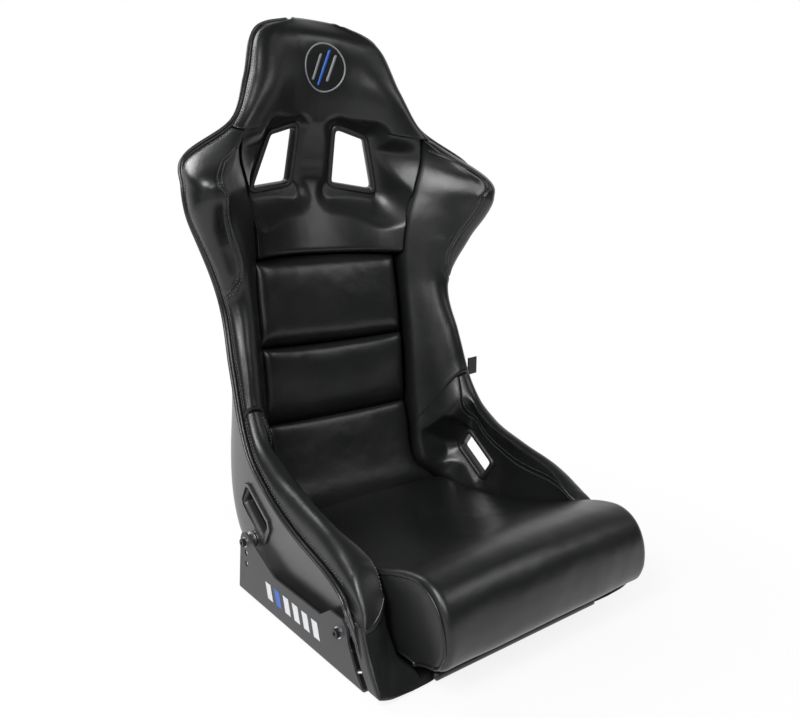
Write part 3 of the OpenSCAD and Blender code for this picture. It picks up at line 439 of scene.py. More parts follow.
def lap_wall_x():
    """How far out the shell's wall is at the middle of a lap slot."""
    a, b = 2.0, 5.0
    for _ in range(24):
        m = (a + b) / 2
        s = Station(m)
        ahead = (LAP_MIDDLE[0] - s.y) * s.az - (LAP_MIDDLE[1] - s.z) * s.ay
        a, b = (m, b) if ahead > 0 else (a, m)
    v = (LAP_MIDDLE[0] - s.y) * s.ay + (LAP_MIDDLE[1] - s.z) * s.az
    return s.wall(s.share(1, v))[0]


LAP_X = lap_wall_x()
LAP_PLACE = (Matrix.Translation(Vector((LAP_X, LAP_MIDDLE[0] + SHIFT, LAP_MIDDLE[1])) * MM)
             @ Matrix.Rotation(radians(90), 4, "Z") @ Matrix.Rotation(radians(90), 4, "X")
             @ Matrix.Rotation(radians(LAP_SLOPE), 4, "Z"))


def prism(low_outline, high_outline, low, high, place):
    """A closed prism between two outlines in mm at two depths, put in its place."""
    bm = bmesh.new()
    face = bm.faces.new([bm.verts.new(Vector((p[0], p[1], low)) * MM) for p in low_outline])
    up = bmesh.ops.extrude_face_region(bm, geom=[face])
    top = [g for g in up["geom"] if isinstance(g, bmesh.types.BMVert)]
    for vert in top:
        near = min(range(len(low_outline)), key=lambda i: (low_outline[i] - Vector(vert.co[:2]) / MM).length)
        vert.co = Vector((*high_outline[near], high)) * MM
    bmesh.ops.transform(bm, matrix=place, verts=bm.verts)
    bmesh.ops.recalc_face_normals(bm, faces=bm.faces)
    return bm


def cut(piece, *tools):
    """Cuts closed shapes out of a piece."""
    for tool in tools:
        cutter = add_object("tool", mesh_from("tool", tool))
        step = piece.modifiers.new("cut", "BOOLEAN")
        step.operation, step.solver, step.object = "DIFFERENCE", "EXACT", cutter
        bpy.context.view_layer.update()
        result = bpy.data.meshes.new_from_object(piece.evaluated_get(bpy.context.evaluated_depsgraph_get()))
        piece.modifiers.clear()
        piece.data = result
        bpy.data.objects.remove(cutter)


def shoulder_tool(side, margin):
    """What a shoulder bezel takes out of the trim and the shell: it flares open to the rear."""
    wide, narrow = (rounded(grown(SHOULDER_OUTLINE, margin + deep * SHOULDER_FLARE), SHOULDER_ROUND + margin)
                    for deep in (SHOULDER_CUT, 0))
    return prism(wide, narrow, -SHOULDER_CUT, 0.2, sided(SHOULDER_PLACE, side))


def lap_tool(side, margin):
    outline = rounded(grown(LAP_OUTLINE, margin), LAP_ROUND + margin)
    return prism(outline, outline, -120, 60, sided(LAP_PLACE, side))


for tool in (shoulder_tool, lap_tool):
    for _, side in SIDES:
        cut(shell, tool(side, BEZEL_WALL + FIT_GAP))


# ---- Rim: the moulding turns over into a rounded flange, and a black vinyl binding is stapled over
# ---- the raw edge inside it. Both go right round, from the pan's front edge over the head. ----

def rim_point(place_in):
    """The rim's inside face and normal: place_in 0 to 1 up the left, from the middle of the front."""
    if place_in < 0.14:
        t, q = 0, place_in / 0.14
    elif place_in < 0.95:
        t, q = LAST * (place_in - 0.14) / 0.81, 1
    else:
        t, q = LAST, 1 - (place_in - 0.95) / 0.05
    s, q = station(t), round(q, 5)
    behind_it, ahead = station(max(s.t - 0.02, 0)), station(min(s.t + 0.02, LAST))
    along = ahead.place(ahead.wall(q)) - behind_it.place(behind_it.wall(q))
    over = s.place(s.wall(min(q + 0.01, 1))) - s.place(s.wall(max(q - 0.01, -1)))
    return s.place(s.wall(q)), over.cross(along).normalized()


def rim_line(count):
    """Evenly spaced rim points round the whole seat: (place, inward normal, outward direction)."""
    half = [rim_point(i / 900) for i in range(900)]
    line = half + [(mirrored(c, -1), mirrored(n, -1)) for c, n in reversed(half[1:])]
    total = len(line)
    for _ in range(8):
        line = [((line[i - 1][0] + 2 * line[i][0] + line[(i + 1) % total][0]) / 4,
                 (line[i - 1][1] + 2 * line[i][1] + line[(i + 1) % total][1]).normalized())
                for i in range(total)]
    run = [0.0]
    for i in range(total):
        run.append(run[-1] + (line[(i + 1) % total][0] - line[i][0]).length)
    out, at = [], 0
    for k in range(count):
        goal = run[-1] * k / count
        while run[at + 1] < goal:
            at += 1
        u = (goal - run[at]) / max(run[at + 1] - run[at], 1e-9)
        a, b = line[at], line[(at + 1) % total]
        out.append((a[0].lerp(b[0], u), a[1].lerp(b[1], u).normalized()))
    return [(co, normal, (out[(k + 1) % count][0] - out[k - 1][0]).normalized().cross(normal).normalized())
            for k, (co, normal) in enumerate(out)]


RIM_COUNT = 720
RIM = rim_line(RIM_COUNT)
if (RIM[RIM_COUNT // 4][2]).dot(Vector((0, -1, 0.2))) < 0:
    RIM = [(c, n, -o) for c, n, o in RIM]


def sweep_rim(profile):
    """A closed bar round the rim: profile is (out past the edge, in from the inside face) in mm.

    It is drawn in under the cover at the top and behind the facings at the front.
    """
    count = len(profile)

    def form(u, v):
        co, normal, out = RIM[int(round(v * RIM_COUNT)) % RIM_COUNT]
        p = profile[int(round(u * count)) % count]
        drawn = 4.5 * smooth(co.z, 0.868, 0.884) + 2.6 * (1 - smooth(co.z, 0.085, 0.105))
        return co + (out * (p[0] - drawn) + normal * p[1]) * MM

    return shaped_grid(count, RIM_COUNT, form, 2 * WELD)


def oval(centre, radii, count=14):
    return [(centre[0] + radii[0] * cos(2 * pi * i / count), centre[1] + radii[1] * sin(2 * pi * i / count))
            for i in range(count)]


# ---- Trim panels along the shell's edge: foam under black vinyl with a fine leather grain. Each
# ---- panel is cut, sewn to its neighbour along a seam, and pulled over the shell's edge. ----

CUSHION_W, PAD_HALF, RIDGE_IN = 386, 153, 34
THIGH_RISE, TORSO_RISE, WING_RISE, WING_BULGE, NOSE = 46, 24, 56, 14, 28
TRIM_T = 2.5
BASE = [(0, CUSHION_W / 2 + 3), (3.3, CUSHION_W / 2 + 3), (3.85, CUSHION_W / 2 + 3),
        (4.3, PAD_HALF - 2), (5, PAD_HALF), (7, PAD_HALF), (7.6, PAD_HALF - 2), (8.3, PAD_HALF + 3),
        (9, PAD_HALF + 15), (10, PAD_HALF + 27), (11, NECK_W / 2 - 10)]
TUCK = [(0, 3), (3, 6), (3.7, 36), (4.3, 56), (5, 60), (6, 60), (7, 62), (7.6, 70), (8.3, 84),
        (9, 92), (10, 108), (11, 115)]
RIDGE = [(0, 1.1), (0.4, 1.25), (1.2, 0.85), (3, 1), (5, 0.7), (7, 0.85), (8, 1.3), (9, 1.4),
         (10, 1.15), (10.6, 0.7), (11, 0.5), (12, 0.8), (13, 0.7), (14, 0.6)]
RISE = [(0, THIGH_RISE * 0.5), (0.3, THIGH_RISE * 0.85), (0.8, THIGH_RISE * 0.98),
        (2, THIGH_RISE * 0.86), (3, THIGH_RISE * 0.58), (4, THIGH_RISE * 0.42),
        (5, TORSO_RISE * 0.85), (6, TORSO_RISE), (7, TORSO_RISE), (8, TORSO_RISE),
        (8.6, WING_RISE * 0.62), (9.2, WING_RISE * 0.88), (10, WING_RISE), (10.6, WING_RISE * 0.5),
        (11, 14), (12, 26), (13, 20), (14, 12)]
SWELL = [(0, 14), (0.3, 20), (2, 17), (3.5, 13), (5, 8), (7, 8), (8, 14), (8.8, 30), (9.4, 36),
         (10, 34), (10.6, 14), (11, 8), (14, 6)]
BULGE = [(0, 3), (0.3, 7), (2, 6), (4, 2), (7, 2), (8, WING_BULGE * 0.5), (8.8, WING_BULGE * 1.1),
         (9.4, WING_BULGE * 1.2), (10, WING_BULGE), (11, 4), (12, 5), (14, 4)]
INNER_X1 = [(0, 0.05), (4, 0.1), (5, 0.3), (7, 0.3), (9, 0.25), (11, 0.3)]
INNER_V1 = [(0, 0.5), (4, 0.45), (5, 0.2), (7, 0.25), (9, 0.35), (11, 0.3)]
INNER_X2 = [(0, 0.2), (4, 0.3), (5, 0.5), (7, 0.5), (9, 0.65), (11, 0.6)]
INNER_V2 = [(0, 0.98), (4, 0.95), (7, 0.9), (9, 0.75), (11, 0.8)]
NOSE_OUT = [(0, NOSE * 0.8), (0.25, NOSE), (0.6, NOSE * 0.6), (1.1, NOSE * 0.15), (1.8, 0), (14, 0)]
HOLLOW = [(0, 3), (1.2, 4), (2, 12), (2.7, 28), (3.7, 30), (4.3, 15), (5, 2), (6, 0), (14, 0)]
THIGH_END, WING_END = 4.8, 10.9
# How far below the ridge the seam along the thigh roll runs
SPLIT = [(0, 0), (0.5, 6), (1.6, 25), (3, 40), (3.9, 30), (4.4, 10), (5, 2)]


def nosed(s, p):
    h = (p[1] - s.depth * 0.6) / (s.depth * 0.4 + law(RISE, s.t))
    return s.place(p) - Vector((0, law(NOSE_OUT, s.t) * smooth(h), 0)) * MM


def ridge_point(s):
    return (s.half - RIDGE_IN * law(RIDGE, s.t), s.depth + law(RISE, s.t))


def edge_top(s):
    run = Vector((s.handles[3][0] - s.handles[2][0], s.handles[3][1] - s.handles[2][1])).normalized()
    return (s.half + (TRIM_T + 3 * FIT_GAP) * run.x - FIT_GAP * run.y,
            s.depth + (TRIM_T + 3 * FIT_GAP) * run.y + FIT_GAP * run.x)


def side_curve(s):
    r, e, swell, bulge = ridge_point(s), edge_top(s), law(SWELL, s.t), law(BULGE, s.t)
    return (r, (mix(r[0], e[0], 0.5), r[1] + swell),
            (e[0] + bulge, mix(e[1], r[1], 0.75) + swell * 0.5), e)


def inner_curve(s):
    r, f, out = ridge_point(s), (law(BASE, s.t), law(TUCK, s.t)), law(HOLLOW, s.t)
    return (f, (mix(f[0], r[0], law(INNER_X1, s.t)) + out, mix(f[1], r[1], law(INNER_V1, s.t))),
            (mix(f[0], r[0], law(INNER_X2, s.t)) + out, mix(f[1], r[1], law(INNER_V2, s.t))), r)


def evened(points, times):
    """A line's points, evened out between its ends."""
    for _ in range(times):
        points = [points[0], *(tuple((a + 2 * b + c) / 4 for a, b, c in zip(*trio))
                               for trio in zip(points, points[1:], points[2:])), points[-1]]
    return points


@lru_cache(maxsize=None)
def roll_profile(t, part, softness):
    """Points across a roll, from its foot over the ridge to the shell's edge, and their run.

    Part 0 is what lies below the thigh roll's seam, part 1 what lies above it, and part 2 the whole.
    """
    s = station(t)
    n = 40
    if part != 2:
        whole = roll_profile(t, 2, softness)
        at = (whole[1][n] - law(SPLIT, t)) / whole[1][-1]
        low, high = (0.0, at) if part == 0 else (at, 1.0)
        points = [across(whole, mix(low, high, i / n)) for i in range(n + 1)]
    else:
        inner, side = inner_curve(s), side_curve(s)
        points = [bezier(inner, i / n) for i in range(n + 1)] + [bezier(side, i / n) for i in range(1, n + 1)]
        points = evened(points, softness)
    run = [0.0]
    for p, q in zip(points, points[1:]):
        run.append(run[-1] + sqrt((p[0] - q[0]) ** 2 + (p[1] - q[1]) ** 2))
    return points, run


def across(profile, u):
    """The point at a share u of a profile's length."""
    points, run = profile
    goal = u * run[-1]
    low, high = 0, len(run) - 1
    while high - low > 1:
        m = (low + high) // 2
        low, high = (m, high) if run[m] <= goal else (low, m)
    k = (goal - run[low]) / max(run[high] - run[low], 1e-9)
    return tuple(mix(a, b, k) for a, b in zip(points[low], points[high]))


def between(points, share):
    """The point at a share of the way through points, each step counted alike."""
    x = share * (len(points) - 1)
    i = min(int(x), len(points) - 2)
    return tuple(mix(a, b, x - i) for a, b in zip(points[i], points[i + 1]))


def pace(t):
    """How long the spine is per station, in mm."""
    return sqrt((law(SPINE_Y, t + 0.02) - law(SPINE_Y, t - 0.02)) ** 2
                + (law(SPINE_Z, t + 0.02) - law(SPINE_Z, t - 0.02)) ** 2) / 0.04


def rounding(distance, radius):
    """How full a sewn panel is near its seam: 0 at the seam, 1 a radius away."""
    k = min(max(distance / radius, 0.0), 1.0)
    return sqrt(max(1 - (1 - k) ** 2, 0.0))


def fall(depth, distance, radius):
    """How far a sewn panel falls away towards its seam."""
    return depth * (1 - rounding(distance, radius))


def block(across_n, along_n, over, under):
    """A closed foam block: over(u, v) is its face and under(u, v) its back."""
    bm = bmesh.new()
    bmesh.ops.create_grid(bm, x_segments=across_n, y_segments=along_n, size=0.5, calc_uvs=True)
    bmesh.ops.solidify(bm, geom=bm.faces[:], thickness=0.1)
    for vert in bm.verts:
        vert.co = (over if abs(vert.co.z) < 0.05 else under)(vert.co.x + 0.5, vert.co.y + 0.5)
    bmesh.ops.recalc_face_normals(bm, faces=bm.faces)
    return bm


NOSE_SHARE = 0.07
# Two rows of stitches run beside each hem, with a seam between them
HEM_ROWS, HEM_SEAM = (4.6, 9.0), [(6.8, -1), (6.8, 1)]


def off_wall(s, q, height=1.2):
    return s.place(shell_up(s, q, height))


def sewn(p, line, depth=1.5, width=1.7):
    """How far a seam drawn through the points of a line pulls in the face at p, all in mm."""
    near = 1e9
    for a, b in zip(line, line[1:]):
        run = (b[0] - a[0], b[1] - a[1])
        k = ((p[0] - a[0]) * run[0] + (p[1] - a[1]) * run[1]) / (run[0] ** 2 + run[1] ** 2)
        k = min(max(k, 0.0), 1.0)
        near = min(near, sqrt((p[0] - a[0] - k * run[0]) ** 2 + (p[1] - a[1] - k * run[1]) ** 2))
    return depth * exp(-(near / width) ** 2) - 0.5 * depth * exp(-((near - 7) / 4) ** 2)


def creased(co, wide, deep, fine, shallow):
    """How far soft creases of two sizes draw a face in at a place, in mm."""
    return noise.noise(co * wide) * deep + noise.noise(co * fine) * shallow


def sunk(co, back, depth, most):
    """A place on a face, drawn in by a depth in mm, but only by so much of the way to its back."""
    way = back - co
    return co + way * min(depth * MM / max(way.length, 1e-6), most)


def outward(over, under, u, v, before, after):
    """The normal of a panel's face, away from its back, over a short way before and after u."""
    over_u = over(u + after, v) - over(u - before, v)
    over_v = over(u, min(v + 0.004, 1)) - over(u, max(v - 0.004, 0))
    normal = over_u.cross(over_v).normalized()
    return normal if normal.dot(over(u, v) - under(u, v)) > 0 else -normal


# Within this many mm of a slot the trim is pressed down by the slot's bezel
NEAR_SLOT = 90
LAP_BACK, LAP_PRESSED = LAP_PLACE.inverted(), -7.0


def past_outline(p, outline):
    """How far a point is outside a slot's outline, in mm."""
    most, near, p = -1e9, 1e9, Vector(p[:2])
    for i, a in enumerate(outline):
        a, b = Vector(a), Vector(outline[(i + 1) % len(outline)])
        run = b - a
        most = max(most, (p - a).cross(run) / run.length)
        k = min(max((p - a).dot(run) / run.dot(run), 0.0), 1.0)
        near = min(near, (p - a - run * k).length)
    return near if most > 0 else most


def soft_min(a, b, k):
    return min(a, b) - max(k - abs(a - b), 0) ** 2 / k / 4


def held_near(height, level, away, slope, rise):
    """A height drawn to a level at a slot, and let go the further away it is."""
    away = max(away, 0)
    room, k = slope * away + rise * away * away, min(0.3 * away + 0.01, 8)
    return -soft_min(-soft_min(height, level + room, k), room - level, k)


class Roll:
    """The face and back of one roll of trim, from station t0 to t1, on one side of the seat.

    Its seams are lines of (u, v) points. A nose is a rounded front end that stands out by so many mm.
    """

    def __init__(self, t0, t1, part, side, seams=(), nose=0.0):
        low = 0.02 if part == 2 else SEAM_GAP / 2
        high = (0.02, SEAM_GAP, SEAM_GAP / 2)[part]
        self.a, self.b = t0 + low / pace(t0), t1 - high / pace(t1)
        self.part, self.side, self.seams, self.nose = part, side, seams, nose
        self.long = sum(pace(mix(self.a, self.b, (i + 0.5) / 20)) for i in range(20)) / 20 * (self.b - self.a)

    def at(self, v):
        """The station at a share v of the roll's length, the profile there and its width."""
        s = station(mix(self.a, self.b, v))
        soft = mix(10, 60, smooth(s.t, 3.4, THIGH_END)) if self.part < 2 else mix(60, 5, smooth(s.t, 7.6, 8.8))
        profile = roll_profile(s.t, self.part, round(soft))
        return s, profile, profile[1][-1]

    def back(self, s, u):
        """The place on the shell's wall behind a share u of the roll's width."""
        crest = s.share(1, s.depth * mix(0.92, 0.7, smooth(law(SPLIT, s.t), 0, 40)))
        foot = s.share(0, law(BASE, s.t))
        return off_wall(s, mix(*((foot, crest), (crest, 1), (foot, 1))[self.part], u))

    def under(self, u, v):
        return mirrored(self.back(station(mix(self.a, self.b, v)), u), self.side)

    def over(self, u, v):
        s, profile, wide = self.at(v)
        co, back = nosed(s, across(profile, u)), self.back(s, u)
        foot, edge, front, rear = u * wide, (1 - u) * wide, v * self.long, (1 - v) * self.long
        if self.part == 0:
            drop = fall(2.5, front, 9)
        elif self.part == 2 and v < 0.5:
            outer = smooth(u, 0.35, 0.65)
            drop = fall(4.5 * outer, front, mix(3, 9, outer))
        else:
            drop = fall(4.5, rear if self.nose else min(front, rear), 9)
        drop = max(drop, fall(2.2, foot, 7) if self.part == 1 else fall(4.5, foot, 8),
                   fall(3.0, edge, 6) if self.part else fall(2.2, edge, 7))
        if self.part:
            plain = 1 - smooth(v, 0.05, 0.13) if self.nose else 0
            drop += sewn((edge, 0), HEM_SEAM, 0.9, 2.2) * (1 - plain)
        for line in self.seams:
            drop += sewn((foot, front), [(k * wide, w * self.long) for k, w in line])
        inner = min(foot, edge, 99 if self.part == 2 else front, rear if self.part else 99)
        drop += creased(co, 14, 0.9, 45, 0.25) * smooth(inner, 2, 16)
        co = sunk(co, back, drop, 0.85)
        if self.part == 0:
            there = (LAP_BACK @ co) / MM
            away = past_outline(there, LAP_OUTLINE)
            if away < NEAR_SLOT:
                pressed = held_near(there.z, LAP_PRESSED, away - 8, 0.7, 0.02)
                there.z = mix(there.z, max(there.z, pressed), smooth(inner, 0, 14))
                co = LAP_PLACE @ (there * MM)
        if self.nose and v < NOSE_SHARE:
            co = self.cap(u, v / NOSE_SHARE, co)
        return mirrored(co, self.side)

    def chord(self, u, out=0.0):
        """The seam under the nose, from the ridge (u 0) to the rim (u 1)."""
        points = roll_profile(0, 1, 10)[0]
        r, e = points[0], points[-1]
        p = (mix(r[0], e[0], u), mix(r[1], e[1] - 20, u) - 9 * sin(pi * u))
        return nosed(station(0), p) - Vector((0, out, 0)) * MM

    def cap(self, u, k, co):
        """The rounded nose at the roll's front end: k is 1 where it starts and 0 at its seam."""
        turn = (1 - k) * radians(104)
        low = self.chord(u)
        return low + (co - low) * cos(turn) - Vector((0, self.nose * sin(turn), 0)) * MM

    def line(self, points, n=160):
        """Places and outward normals along a line of (u, v) points."""
        line = [(self.over(u, v), self.under(u, v)) for u, v in (between(points, i / n) for i in range(n + 1))]
        return [(co, (co - back).normalized()) for co, back in line]

    def beside(self, mm, a=0.0, b=1.0, end=1, n=160):
        """The line that runs mm inside the roll's edge (end 1) or its foot (end 0)."""
        out = []
        for i in range(n + 1):
            v = mix(a, b, i / n)
            wide = self.at(v)[2]
            u = 1 - mm / wide if end else mm / wide
            out.append((self.over(u, v), outward(self.over, self.under, u, v, 1.5 / wide, 0)))
        return out


def vinyl():
    f = Finish("black_vinyl")
    grain = f.node("TexVoronoi", {"feature": "DISTANCE_TO_EDGE"}, Vector=f.place(), Scale=620.0)
    pores, cloud, wear = f.noise(1500.0, 2.0), f.noise(7.0, 3.0), f.noise(38.0, 4.0)
    colour = f.ramp(cloud, 0.3, (0.0070, 0.0074, 0.0077), 0.75, (0.0105, 0.0109, 0.0114))
    fine = f.bump(grain * 1.6 + pores * 0.4, 0.22, 0.0003)
    return f.surface(Base_Color=colour, Roughness=cloud * 0.08 + wear * 0.08 + 0.25,
                     Normal=f.bump(wear, 0.12, 0.004, Normal=fine))


def woven(name, weave, scale, low, high, relief, gloss, out=0):
    """Thread or webbing in two shades, with the relief of its weave; gloss is (vary, roughness)."""
    f = Finish(name)
    weave = f.node(weave, Vector=f.place(), Scale=scale, out=out)
    return f.surface(Base_Color=f.ramp(weave, 0.2, low, 0.8, high), Roughness=weave * gloss[0] + gloss[1],
                     Normal=f.bump(weave, relief, 0.0002))


VINYL = vinyl()
# The stitch thread is black: its grey colour is painted sheen, standing in for the light it reflects.
THREAD_PAINTED_SHEEN = woven("black_thread_painted_sheen", "TexWave", 900.0, (0.07, 0.072, 0.075), (0.11, 0.112, 0.117), 0.3, (0.1, 0.5))


def add_stitches(bm, line, pitch=5.0, size=(4.0, 1.1, 0.5)):
    """Sews a row: a stitch every pitch mm along (place, normal) samples."""
    left = pitch / 2
    for (p, n), (q, _) in zip(line, line[1:]):
        step = (q - p).length / MM
        while left < step:
            ahead = (q - p).normalized()
            up = (n - ahead * n.dot(ahead)).normalized()
            turn = Matrix((ahead, up.cross(ahead), up)).transposed().to_4x4()
            bmesh.ops.create_icosphere(bm, subdivisions=1, radius=1.0, matrix=(
                Matrix.Translation(p.lerp(q, left / step) + up * 0.1 * MM) @ turn
                @ Matrix.Diagonal((size[0] / 2 * MM, size[1] / 2 * MM, size[2] * MM, 1))))
            left += pitch
        left -= step


def tube(line, r, sides=10, loop=False):
    """A round cord along places, closed at its ends unless it is a loop."""
    n = len(line)
    last = n if loop else n - 1

    def form(u, v):
        i = int(round(v * last)) % n
        ahead = (line[(i + 1) % n] if loop or i < last else line[i]) - (line[i - 1] if loop or i else line[i])
        ahead.normalize()
        one = ahead.cross(Vector((0.31, 0.22, 0.93))).normalized()
        two = ahead.cross(one)
        reach = r if loop or i not in (0, last) else 0
        return line[i] + (one * cos(2 * pi * u) + two * sin(2 * pi * u)) * reach * MM

    return shaped_grid(sides, last, form, WELD)


flange = new_piece("rolled_flange", sweep_rim(oval((-0.8, -5.8), (2.5, 2.5))), SHELL_FINISH)
binding = new_piece("edge_binding", sweep_rim(oval((0.4, -1.6), (1.9, 2.6))), VINYL)
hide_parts("edge_trim")

RIDGE_SEAM = [(0.16, 0.95), (0.5, 0.937), (0.61, 0.90), (0.61, 0.84), (0.57, 0.74), (0.59, 0.65), (0.61, 0.556),
              (0.60, 0.475), (0.65, 0.43), (0.80, 0.392), (0.985, 0.375)]
hem = bmesh.new()
rolls = {}
for word, side in SIDES:
    thigh = Roll(0, THIGH_END, 1, side, nose=15)
    inner = Roll(0, THIGH_END, 0, side)
    torso = Roll(THIGH_END, WING_END, 2, side, [RIDGE_SEAM])
    rolls[word] = thigh
    thigh_roll = new_piece(f"thigh_roll_{word}", block(44, 200, thigh.over, thigh.under), VINYL)
    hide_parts(f"thigh_bolster_{word}")
    panel_mesh = block(64, 170, inner.over, inner.under)
    if side > 0:
        PANEL_FACE = BVHTree.FromBMesh(panel_mesh)
    panel = new_piece(f"inside_panel_{word}", panel_mesh, VINYL)
    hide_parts(f"side_panel_{word}")
    cut(panel, lap_tool(side, BEZEL_WALL + FIT_GAP))
    torso_roll = new_piece(f"torso_roll_{word}", block(110, 260, torso.over, torso.under), VINYL)
    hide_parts(f"side_bolster_{word}")
    for roll in (thigh, torso):
        for mm in HEM_ROWS:
            add_stitches(hem, roll.beside(mm, 0.12 if roll.nose else 0.02, 0.985))
    add_stitches(hem, thigh.beside(4.5, 0.03, 0.97, end=0))
    add_stitches(hem, inner.beside(4.5, 0.03, 0.97))
    for step in (-0.016, 0.016):
        add_stitches(hem, torso.line([(u + step, v + step * 0.3) for u, v in RIDGE_SEAM]))

# The front facing closes the end of the pan's side under the nose, with a piping cord along its top.
# Its outer edge is carried from a middle inside the pan's corner out past the shell's corner.
FACING_FOOT, CORNER_IN, CORNER_OUT = 152, 45, 53.2
for word, side in SIDES:
    s0 = station(0)
    foot_q = s0.share(0, FACING_FOOT)
    inner_line = [bezier(inner_curve(s0), 1 - i / 40) for i in range(41)]
    inner_line = [(x - 20 * smooth(-v, -42, -8), v) for x, v in inner_line]
    inner_line += [(mix(inner_line[40][0], FACING_FOOT, i / 6), 3 + 0.5 * i) for i in range(1, 7)]

    def front(u, w, lift=0.0):
        near = nosed(s0, between(inner_line, w))
        x, v = shell_up(s0, mix(1, foot_q, w), -8.2)
        dx, dv = x - (s0.half - CORNER_IN), v - CORNER_IN
        reach = min((CORNER_OUT / dx) if dx > 0 else 9, (-CORNER_OUT / dv) if dv < 0 else 9)
        reach = mix(1, min(reach, 1.4), 0.8)
        far = s0.place((s0.half - CORNER_IN + dx * reach, CORNER_IN + dv * reach))
        co = near.lerp(far, u).lerp(rolls[word].chord(u), (1 - w) ** 3)
        out = mix(13.0, 7.0, smooth(w, 0, 0.35)) + 2.5 * sin(pi * w) - 6 * smooth(w, 0.5, 0.9)
        out -= fall(5.0, min(u * 60, (1 - u) * 60, (1 - w) * 90), 6)
        return mirrored(co - Vector((0, (out - lift) * MM, 0)), side)

    facing = new_piece(f"front_facing_{word}", block(60, 70, front, lambda u, w: front(u, w, 20.0)), VINYL)
    piping = [mirrored(rolls[word].chord(i / 40, 14.6), side) for i in range(41)]
    cord = new_piece(f"nose_piping_{word}", tube(piping, 1.6), VINYL)

# A rolled vinyl lip covers the pan's front edge between the two facings.
lip_line = [Vector((mix(-160, 160, i / 60), 7 - 4 + SHIFT, 8.4)) * MM for i in range(61)]
lip = new_piece("front_lip", tube(lip_line, 6.6, 16), VINYL)


# ---- Back pads: three foam blocks in vinyl between the torso rolls. Each one is drawn down to the
# ---- shell all round its edge, so deep channels part them. ----

PAD_T, PAD_CROWN, TUCK_T, SIDE_TUCK_T = 36, 5, 8, 20
PAD_BREAKS = (3.95, 5.33, 6.33, 7.55)


def pillow(e):
    return max(1 - e ** 8, 0) ** 0.5


def pad_face(t0, t1, raised):
    """A pad's face, or its back if it isn't raised, between two breaks."""
    a, b = t0 + SEAM_GAP / 2 / pace(t0), t1 - SEAM_GAP / 2 / pace(t1)

    def at(u, v):
        u, v = -cos(pi * u), -cos(pi * v)
        s = station(mix(a, b, (v + 1) / 2))
        q = s.share(0, law(BASE, s.t) - SEAM_GAP)
        if not raised:
            return off_wall(s, u * q)
        side_t = mix(SIDE_TUCK_T, PAD_T, pillow(abs(u)))
        height = mix(TUCK_T, side_t, pillow(abs(v))) + PAD_CROWN * (1 - u * u) * (1 - v * v)
        co = off_wall(s, u * q, height)
        co.y += creased(co, 16, 1.2, 50, 0.3) * MM * (1 - u ** 8) * (1 - v ** 8)
        return co

    return at


for word, low, high in zip(("lower", "middle", "upper"), PAD_BREAKS, PAD_BREAKS[1:]):
    pad = new_piece(f"back_cushion_{word}", block(110, 80, *(pad_face(low, high, up) for up in (True, False))), VINYL)
    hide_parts(f"back_pad_{word}")


# ---- Head cover: one vinyl panel over foam, from the upper pad over the shoulder slots to the top,
# ---- where it wraps over the shell's edge. It is pressed down flat under the slots' bezels. ----

COVER_T = [(7.5, PAD_T - 4), (8.0, 22), (8.5, 9), (8.9, 3), (9.2, 8), (9.55, 17), (10, 27), (10.4, 34), (11, 43),
           (12.5, 45), (13.4, 42), (14, 28)]
COVER_START = PAD_BREAKS[3] + 0.6 / pace(7.6)
COVER_HALF = 190
SHOULDER_BACK = SHOULDER_PLACE.inverted()


@lru_cache(maxsize=None)
def cover_profile(t):
    """Points across the left half of the cover, from the middle to its edge."""
    s = station(t)
    c = law(COVER_T, t)
    if t < WING_END:
        x, v = law(BASE, t) - SEAM_GAP, law(TUCK, t)
        f = smooth(t, 10, WING_END)
        low = mix(0.12, 0.3, 1 - smooth(t, 8.0, 8.8))
        g = ((0, c), (x * mix(0.35, 0.5, f), c), (x * 0.72, mix(c, v, mix(low, 0.85, f))), (x - 3, v))
        tail = [(x - 3 + 3 * j / 10, v - min(20, v * 0.2) * j / 10 * 0.6) for j in range(1, 11)]
    else:
        r, side = ridge_point(s), side_curve(s)
        g = ((0, c), (r[0] * 0.5, c), (r[0] * 0.72, mix(c, r[1], 0.9)), r)
        tail = [bezier(side, j / 10) for j in range(1, 11)]
    return evened([bezier(g, i / 30) for i in range(31)] + tail, 8 if t >= WING_END else 0)


def cover_under(u, v):
    s = station(mix(COVER_START, LAST, v))
    foot = s.share(0, law(BASE, s.t) - SEAM_GAP) if s.t < WING_END else 1
    return off_wall(s, foot * (2 * u - 1))


def cover_over(u, v):
    s = station(mix(COVER_START, LAST, v))
    t, k = s.t, abs(2 * u - 1)
    p = between(cover_profile(t), k)
    over, under = s.place((-p[0] if u < 0.5 else p[0], p[1])), cover_under(u, v)
    low_end = rounding((t - COVER_START) * pace(7.6), 14)
    top_end = rounding((LAST - t) * pace(13.8), 26)
    co = under.lerp(over, min(0.30 + 0.70 * low_end, 0.12 + 0.88 * top_end))
    co.z += (8 * (1 - 0.6 * k ** 6) + 1.5 * sin(pi * smooth(k, 0.5, 1))) * MM * smooth(t, 12.9, 13.8)
    wave = creased(co, 13, 1.4, 42, 0.3)
    if t > WING_END:
        wave += sewn(((1 - k) * COVER_HALF, 0), HEM_SEAM, 0.6, 2.0) * (1 - smooth(t, 12.4, 13.2))
    else:
        wave += fall(3.0, (1 - k) * s.half, 7)
    co = sunk(co, under, wave * min(k * 3, (1 - k) * 8, v * 12, (1 - v) * 12, 1), 0.6)
    side = 1 if co.x > 0 else -1
    there = (SHOULDER_BACK @ mirrored(co, side)) / MM
    away = past_outline(there, SHOULDER_OUTLINE)
    if away < NEAR_SLOT:
        pressed = held_near(there.z, -0.7, away - FLANGE_W, 0.45, 0.016)
        floor_z = (SHOULDER_BACK @ mirrored(under, side)).z / MM + 1.0
        there.z = mix(there.z, max(pressed, floor_z), smooth((1 - k) * s.half, 0, 22))
        co = mirrored(SHOULDER_PLACE @ (there * MM), side)
    return co


